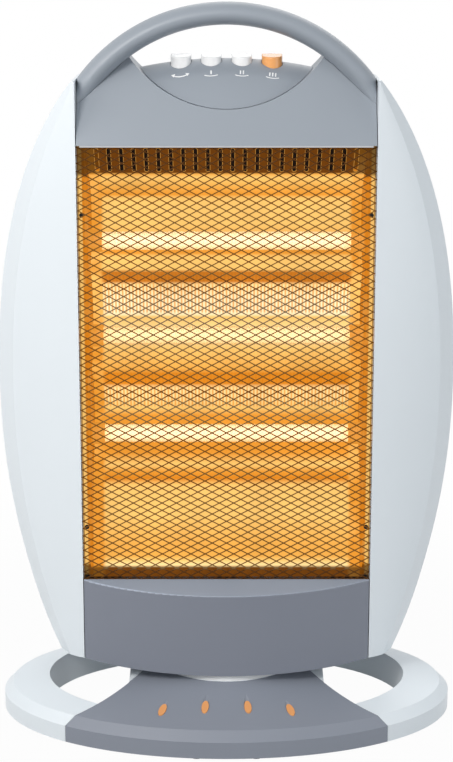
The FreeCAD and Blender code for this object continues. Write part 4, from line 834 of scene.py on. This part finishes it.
tree, keys, given, out = geometry_tree("wound_coil", [
    ("Length", LENGTH, 0.2), ("Radius", LENGTH, 0.003), ("Pitch", LENGTH, 0.003), ("Wire", LENGTH, 0.0004),
    ("Place", VECTOR, (0, 0, 0)), ("Finish", FINISH, None)])
spiral = set_inputs(add(tree, "GeometryNodeCurveSpiral"), Resolution=10)
middle_r = maths(tree, given.outputs["Radius"], given.outputs["Wire"], "SUBTRACT")
turns = maths(tree, given.outputs["Length"], given.outputs["Pitch"], "DIVIDE")
wire(tree, (turns, spiral.inputs["Rotations"]), (middle_r, spiral.inputs["Start Radius"]),
     (middle_r, spiral.inputs["End Radius"]), (given.outputs["Length"], spiral.inputs["Height"]))
section = set_inputs(add(tree, "GeometryNodeCurvePrimitiveCircle"), Resolution=5)
wire(tree, (given.outputs["Wire"], section.inputs["Radius"]))
turned_wire = set_inputs(add(tree, "GeometryNodeCurveToMesh"), Fill_Caps=True)
wire(tree, (spiral.outputs[0], turned_wire.inputs["Curve"]),
     (section.outputs[0], turned_wire.inputs["Profile Curve"]))
laid = set_inputs(add(tree, "GeometryNodeTransform"), Rotation=(0, pi / 2, 0))
wire(tree, (turned_wire.outputs[0], laid.inputs["Geometry"]),
     (given.outputs["Place"], laid.inputs["Translation"]))
settled(tree, laid.outputs[0], given.outputs["Finish"], out)

for level in ("upper", "middle", "lower"):
    low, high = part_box("filament_" + level)
    centre = (low + high) / 2
    coil = grown("coil_" + level, tree, keys, {
        "Length": high.x - low.x - 2 * COIL_WIRE, "Radius": (high.z - low.z) / 2, "Pitch": COIL_PITCH,
        "Wire": COIL_WIRE, "Place": (low.x + COIL_WIRE, centre.y, centre.z),
        "Finish": finishes["filament"]})
    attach(coil, "heater_body")
    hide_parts("filament_" + level)

# %% [markdown]
# ## Screws
# The rear cover and the bottom plate are held by screws with a cross recess. The recess is cut
# once out of one rounded head, and a tree sets that screw on the points where the CAD model has
# its screws. Four small dark screws hold the guard's frame to the chassis plates.

# %% One screw with a cross recess
HEAD_R = 0.003
HEAD_H = 0.0015
THREAD_R = 0.0015
RECESS_ARM = 0.0018
RECESS_W = 0.0006
RECESS_DEPTH = 0.0009
SCREW_STEPS = 20


def turned(mesh, profile, steps):
    """Adds a turned solid: its profile (radius, z) starts and ends on the axis."""
    circle = [(cos(2 * pi * i / steps), sin(2 * pi * i / steps)) for i in range(steps)]
    rings = []
    for radius, z in profile:
        if radius == 0:
            rings.append([mesh.verts.new((0, 0, z))] * steps)
        else:
            rings.append([mesh.verts.new((radius * x, radius * y, z)) for x, y in circle])
    for first, second in zip(rings, rings[1:]):
        for i in range(steps):
            j = (i + 1) % steps
            mesh.faces.new(list(dict.fromkeys((first[i], first[j], second[j], second[i]))))


def block(mesh, half_x, half_y, z0, z1):
    corners = [mesh.verts.new((x, y, z)) for z in (z0, z1)
               for x, y in ((-half_x, -half_y), (half_x, -half_y), (half_x, half_y), (-half_x, half_y))]
    for run in ((0, 3, 2, 1), (4, 5, 6, 7), (0, 1, 5, 4), (1, 2, 6, 5), (2, 3, 7, 6), (3, 0, 4, 7)):
        mesh.faces.new([corners[i] for i in run])


def mesh_object(name, shape):
    bmesh.ops.recalc_face_normals(shape, faces=shape.faces)
    mesh = bpy.data.meshes.new(name)
    shape.to_mesh(mesh)
    shape.free()
    made = bpy.data.objects.new(name, mesh)
    bpy.context.scene.collection.objects.link(made)
    return made


def recessed_screw(name, thread):
    """A screw that points up: its head lies below z = 0 and its thread above."""
    head = [(0, -HEAD_H), (0.72 * HEAD_R, -HEAD_H), (0.93 * HEAD_R, -0.8 * HEAD_H),
            (HEAD_R, -0.5 * HEAD_H), (HEAD_R, 0)]
    shank = [(THREAD_R, 0), (THREAD_R, thread - THREAD_R), (0.6 * THREAD_R, thread), (0, thread)]
    shape = bmesh.new()
    turned(shape, head + shank, SCREW_STEPS)
    screw = mesh_object(name, shape)
    cutters = []
    for half_x, half_y in ((RECESS_ARM, RECESS_W / 2), (RECESS_W / 2, RECESS_ARM)):
        arm = bmesh.new()
        block(arm, half_x, half_y, -2 * HEAD_H, RECESS_DEPTH - HEAD_H)
        cutters.append(mesh_object(name + "_recess", arm))
    for cutter in cutters:
        cut = screw.modifiers.new("recess", "BOOLEAN")
        cut.object = cutter
        cut.operation = "DIFFERENCE"
        cut.solver = "EXACT"
    bpy.context.view_layer.update()
    mesh = bpy.data.meshes.new_from_object(screw.evaluated_get(bpy.context.evaluated_depsgraph_get()))
    for made in (*cutters, screw):
        bpy.data.objects.remove(made)
    return mesh


# %% Screws on their points
tree, keys, given, out = geometry_tree("screws_on_points", [
    ("Points", "NodeSocketGeometry", None), ("Screw", "NodeSocketObject", None),
    ("Turn", VECTOR, (0, 0, 0)), ("Size", LENGTH, 1.0), ("Finish", FINISH, None)])
single = add(tree, "GeometryNodeObjectInfo")
spots = add(tree, "GeometryNodeInstanceOnPoints")
turn = add(tree, "FunctionNodeEulerToRotation")
wire(tree, (given.outputs["Screw"], single.inputs["Object"]),
     (given.outputs["Points"], spots.inputs["Points"]),
     (single.outputs["Geometry"], spots.inputs["Instance"]), (given.outputs["Turn"], turn.inputs[0]),
     (turn.outputs[0], spots.inputs["Rotation"]), (given.outputs["Size"], spots.inputs["Scale"]))
settled(tree, spots.outputs[0], given.outputs["Finish"], out)


def screws(name, thread, places, turn, size, slot, body, *nodes):
    single = bpy.data.objects.new(name + "_one", recessed_screw(name + "_one", thread))
    bpy.context.scene.collection.objects.link(single)
    points = bpy.data.meshes.new(name + "_points")
    points.from_pydata(places, [], [])
    values = {"Screw": single, "Turn": turn, "Size": size, "Finish": finishes[slot]}
    made = grown(name, tree, keys, values, points)
    bpy.data.objects.remove(single)
    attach(made, body)
    if nodes:
        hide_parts(*nodes)


low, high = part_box("rear_screws")
rear_places = [(x, high.y - HEAD_H, z) for x in (low.x + HEAD_R, high.x - HEAD_R)
               for z in (low.z + HEAD_R, (low.z + high.z) / 2, high.z - HEAD_R)]
screws("rear_screw_set", high.y - HEAD_H - low.y, rear_places, UPRIGHT, 1.0, "zinc_steel", "heater_body",
       "rear_screws")

RING_A, RING_B = 0.160, 0.1025
SCREW_ANGLES = (10, 60, 120, 170, 217, 323, 252, 288)
low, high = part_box("base_screws")
base_places = [(RING_A * cos(radians(a)), RING_B * sin(radians(a)), low.z + HEAD_H) for a in SCREW_ANGLES]
screws("base_screw_set", high.z - low.z - HEAD_H, base_places, (0, 0, 0), 1.0, "zinc_steel", "base",
       "base_screws")

FLANGE_X = 0.1095
FLANGE_Z = (0.151, 0.3975)
FLANGE_SCREW_SIZE, FLANGE_THREAD = 0.6, 0.004
flange_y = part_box("left_chassis_plate")[0].y
flange_places = [(side * FLANGE_X, flange_y, z) for side in (-1, 1) for z in FLANGE_Z]
screws("flange_screw_set", FLANGE_THREAD, flange_places, (-pi / 2, 0, 0), FLANGE_SCREW_SIZE,
       "black_plastic", "heater_body")

# %% [markdown]
# ## Marks on the control panel
# Small white marks on the sloping panel tell the keys apart: a double arrow for the sweep, and
# one, two or three bars for the power. They are printed on the real panel. Here they are thin
# flat shapes that stand a tenth of a millimetre proud, so they stay sharp from any distance.

# %% Marks
PANEL_LEAN = radians(35)
PANEL_FOOT_Y = -0.0086545
PANEL_FOOT_Z = 0.477
PANEL_FLAT = 0.0285
PANEL_ROUND = 0.028
PANEL_AXIS_Z = 0.1856
MARK_HEIGHT = 0.0318
MARK_PROUD = 0.00012
MARK_DROP = 0.00006
KEY_X = (-0.0345, -0.0115, 0.0115, 0.0345)


def on_panel(x, up, proud):
    """A place on the panel: x along its arc, up along its face, proud off its face.
    The face is a sloping line that rounds over, turned about an axis from front to back."""
    slope = min(up, PANEL_FLAT)
    lean = PANEL_LEAN + (up - slope) / PANEL_ROUND
    back = slope * sin(PANEL_LEAN) + PANEL_ROUND * (cos(PANEL_LEAN) - cos(lean))
    rise = slope * cos(PANEL_LEAN) + PANEL_ROUND * (sin(lean) - sin(PANEL_LEAN))
    y = PANEL_FOOT_Y + back - proud * cos(lean)
    z = PANEL_FOOT_Z + rise + proud * sin(lean)
    turn = x / (PANEL_FOOT_Z + PANEL_FLAT * cos(PANEL_LEAN) - PANEL_AXIS_Z)
    radius = z - PANEL_AXIS_Z
    return Vector((radius * sin(turn), y, PANEL_AXIS_Z + radius * cos(turn)))


def flat_shape(mesh, outline):
    """Adds a thin plate with this outline (x, up) to a mesh."""
    top = [mesh.verts.new(on_panel(x, up, MARK_PROUD)) for x, up in outline]
    foot = [mesh.verts.new(on_panel(x, up, -MARK_DROP)) for x, up in outline]
    mesh.faces.new(top)
    mesh.faces.new(foot[::-1])
    for i in range(len(outline)):
        j = (i + 1) % len(outline)
        mesh.faces.new((top[j], top[i], foot[i], foot[j]))


def bar(mesh, x, up, width, height):
    flat_shape(mesh, [(x - width / 2, up - height / 2), (x + width / 2, up - height / 2),
                      (x + width / 2, up + height / 2), (x - width / 2, up + height / 2)])


def arc_band(mesh, x, up, radius, half_angle, width, steps=10):
    turns = [-half_angle + 2 * half_angle * i / steps for i in range(steps + 1)]
    outer, inner = [[(x + r * sin(t), up + radius - r * cos(t)) for t in turns]
                    for r in (radius + width / 2, radius - width / 2)]
    flat_shape(mesh, outer + inner[::-1])


SWEEP_ARC = {"radius": 0.011, "half_angle": 0.44, "width": 0.0009}
SWEEP_DROP = 0.0016
ARROW_REACH, ARROW_LIFT = 0.0068, 0.0007
ARROW_BACK = ((0.0030, 0.0006), (0.0017, -0.0024))
POWER_ARC = {"radius": 0.014, "half_angle": 0.36, "width": 0.0006}
POWER_DROP = 0.0030
BAR_W, BAR_H = 0.0010, 0.0034
BAR_STEP, BAR_LIFT = 0.0022, 0.0004

marks = bmesh.new()
arc_band(marks, KEY_X[0], MARK_HEIGHT - SWEEP_DROP, **SWEEP_ARC)
for side in (-1, 1):
    tip_x, tip_up = KEY_X[0] + side * ARROW_REACH, MARK_HEIGHT + ARROW_LIFT
    head = [(tip_x, tip_up)] + [(tip_x - side * back, tip_up + rise) for back, rise in ARROW_BACK]
    flat_shape(marks, head[::side])
for count, x in enumerate(KEY_X[1:], start=1):
    arc_band(marks, x, MARK_HEIGHT - POWER_DROP, **POWER_ARC)
    for i in range(count):
        bar(marks, x + (i - (count - 1) / 2) * BAR_STEP, MARK_HEIGHT + BAR_LIFT, BAR_W, BAR_H)
marks_piece = mesh_object("key_marks", marks)
marks_piece.data.materials.append(finishes["button_white"])
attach(marks_piece, "heater_body")
print("marks", len(marks_piece.data.polygons), "faces")
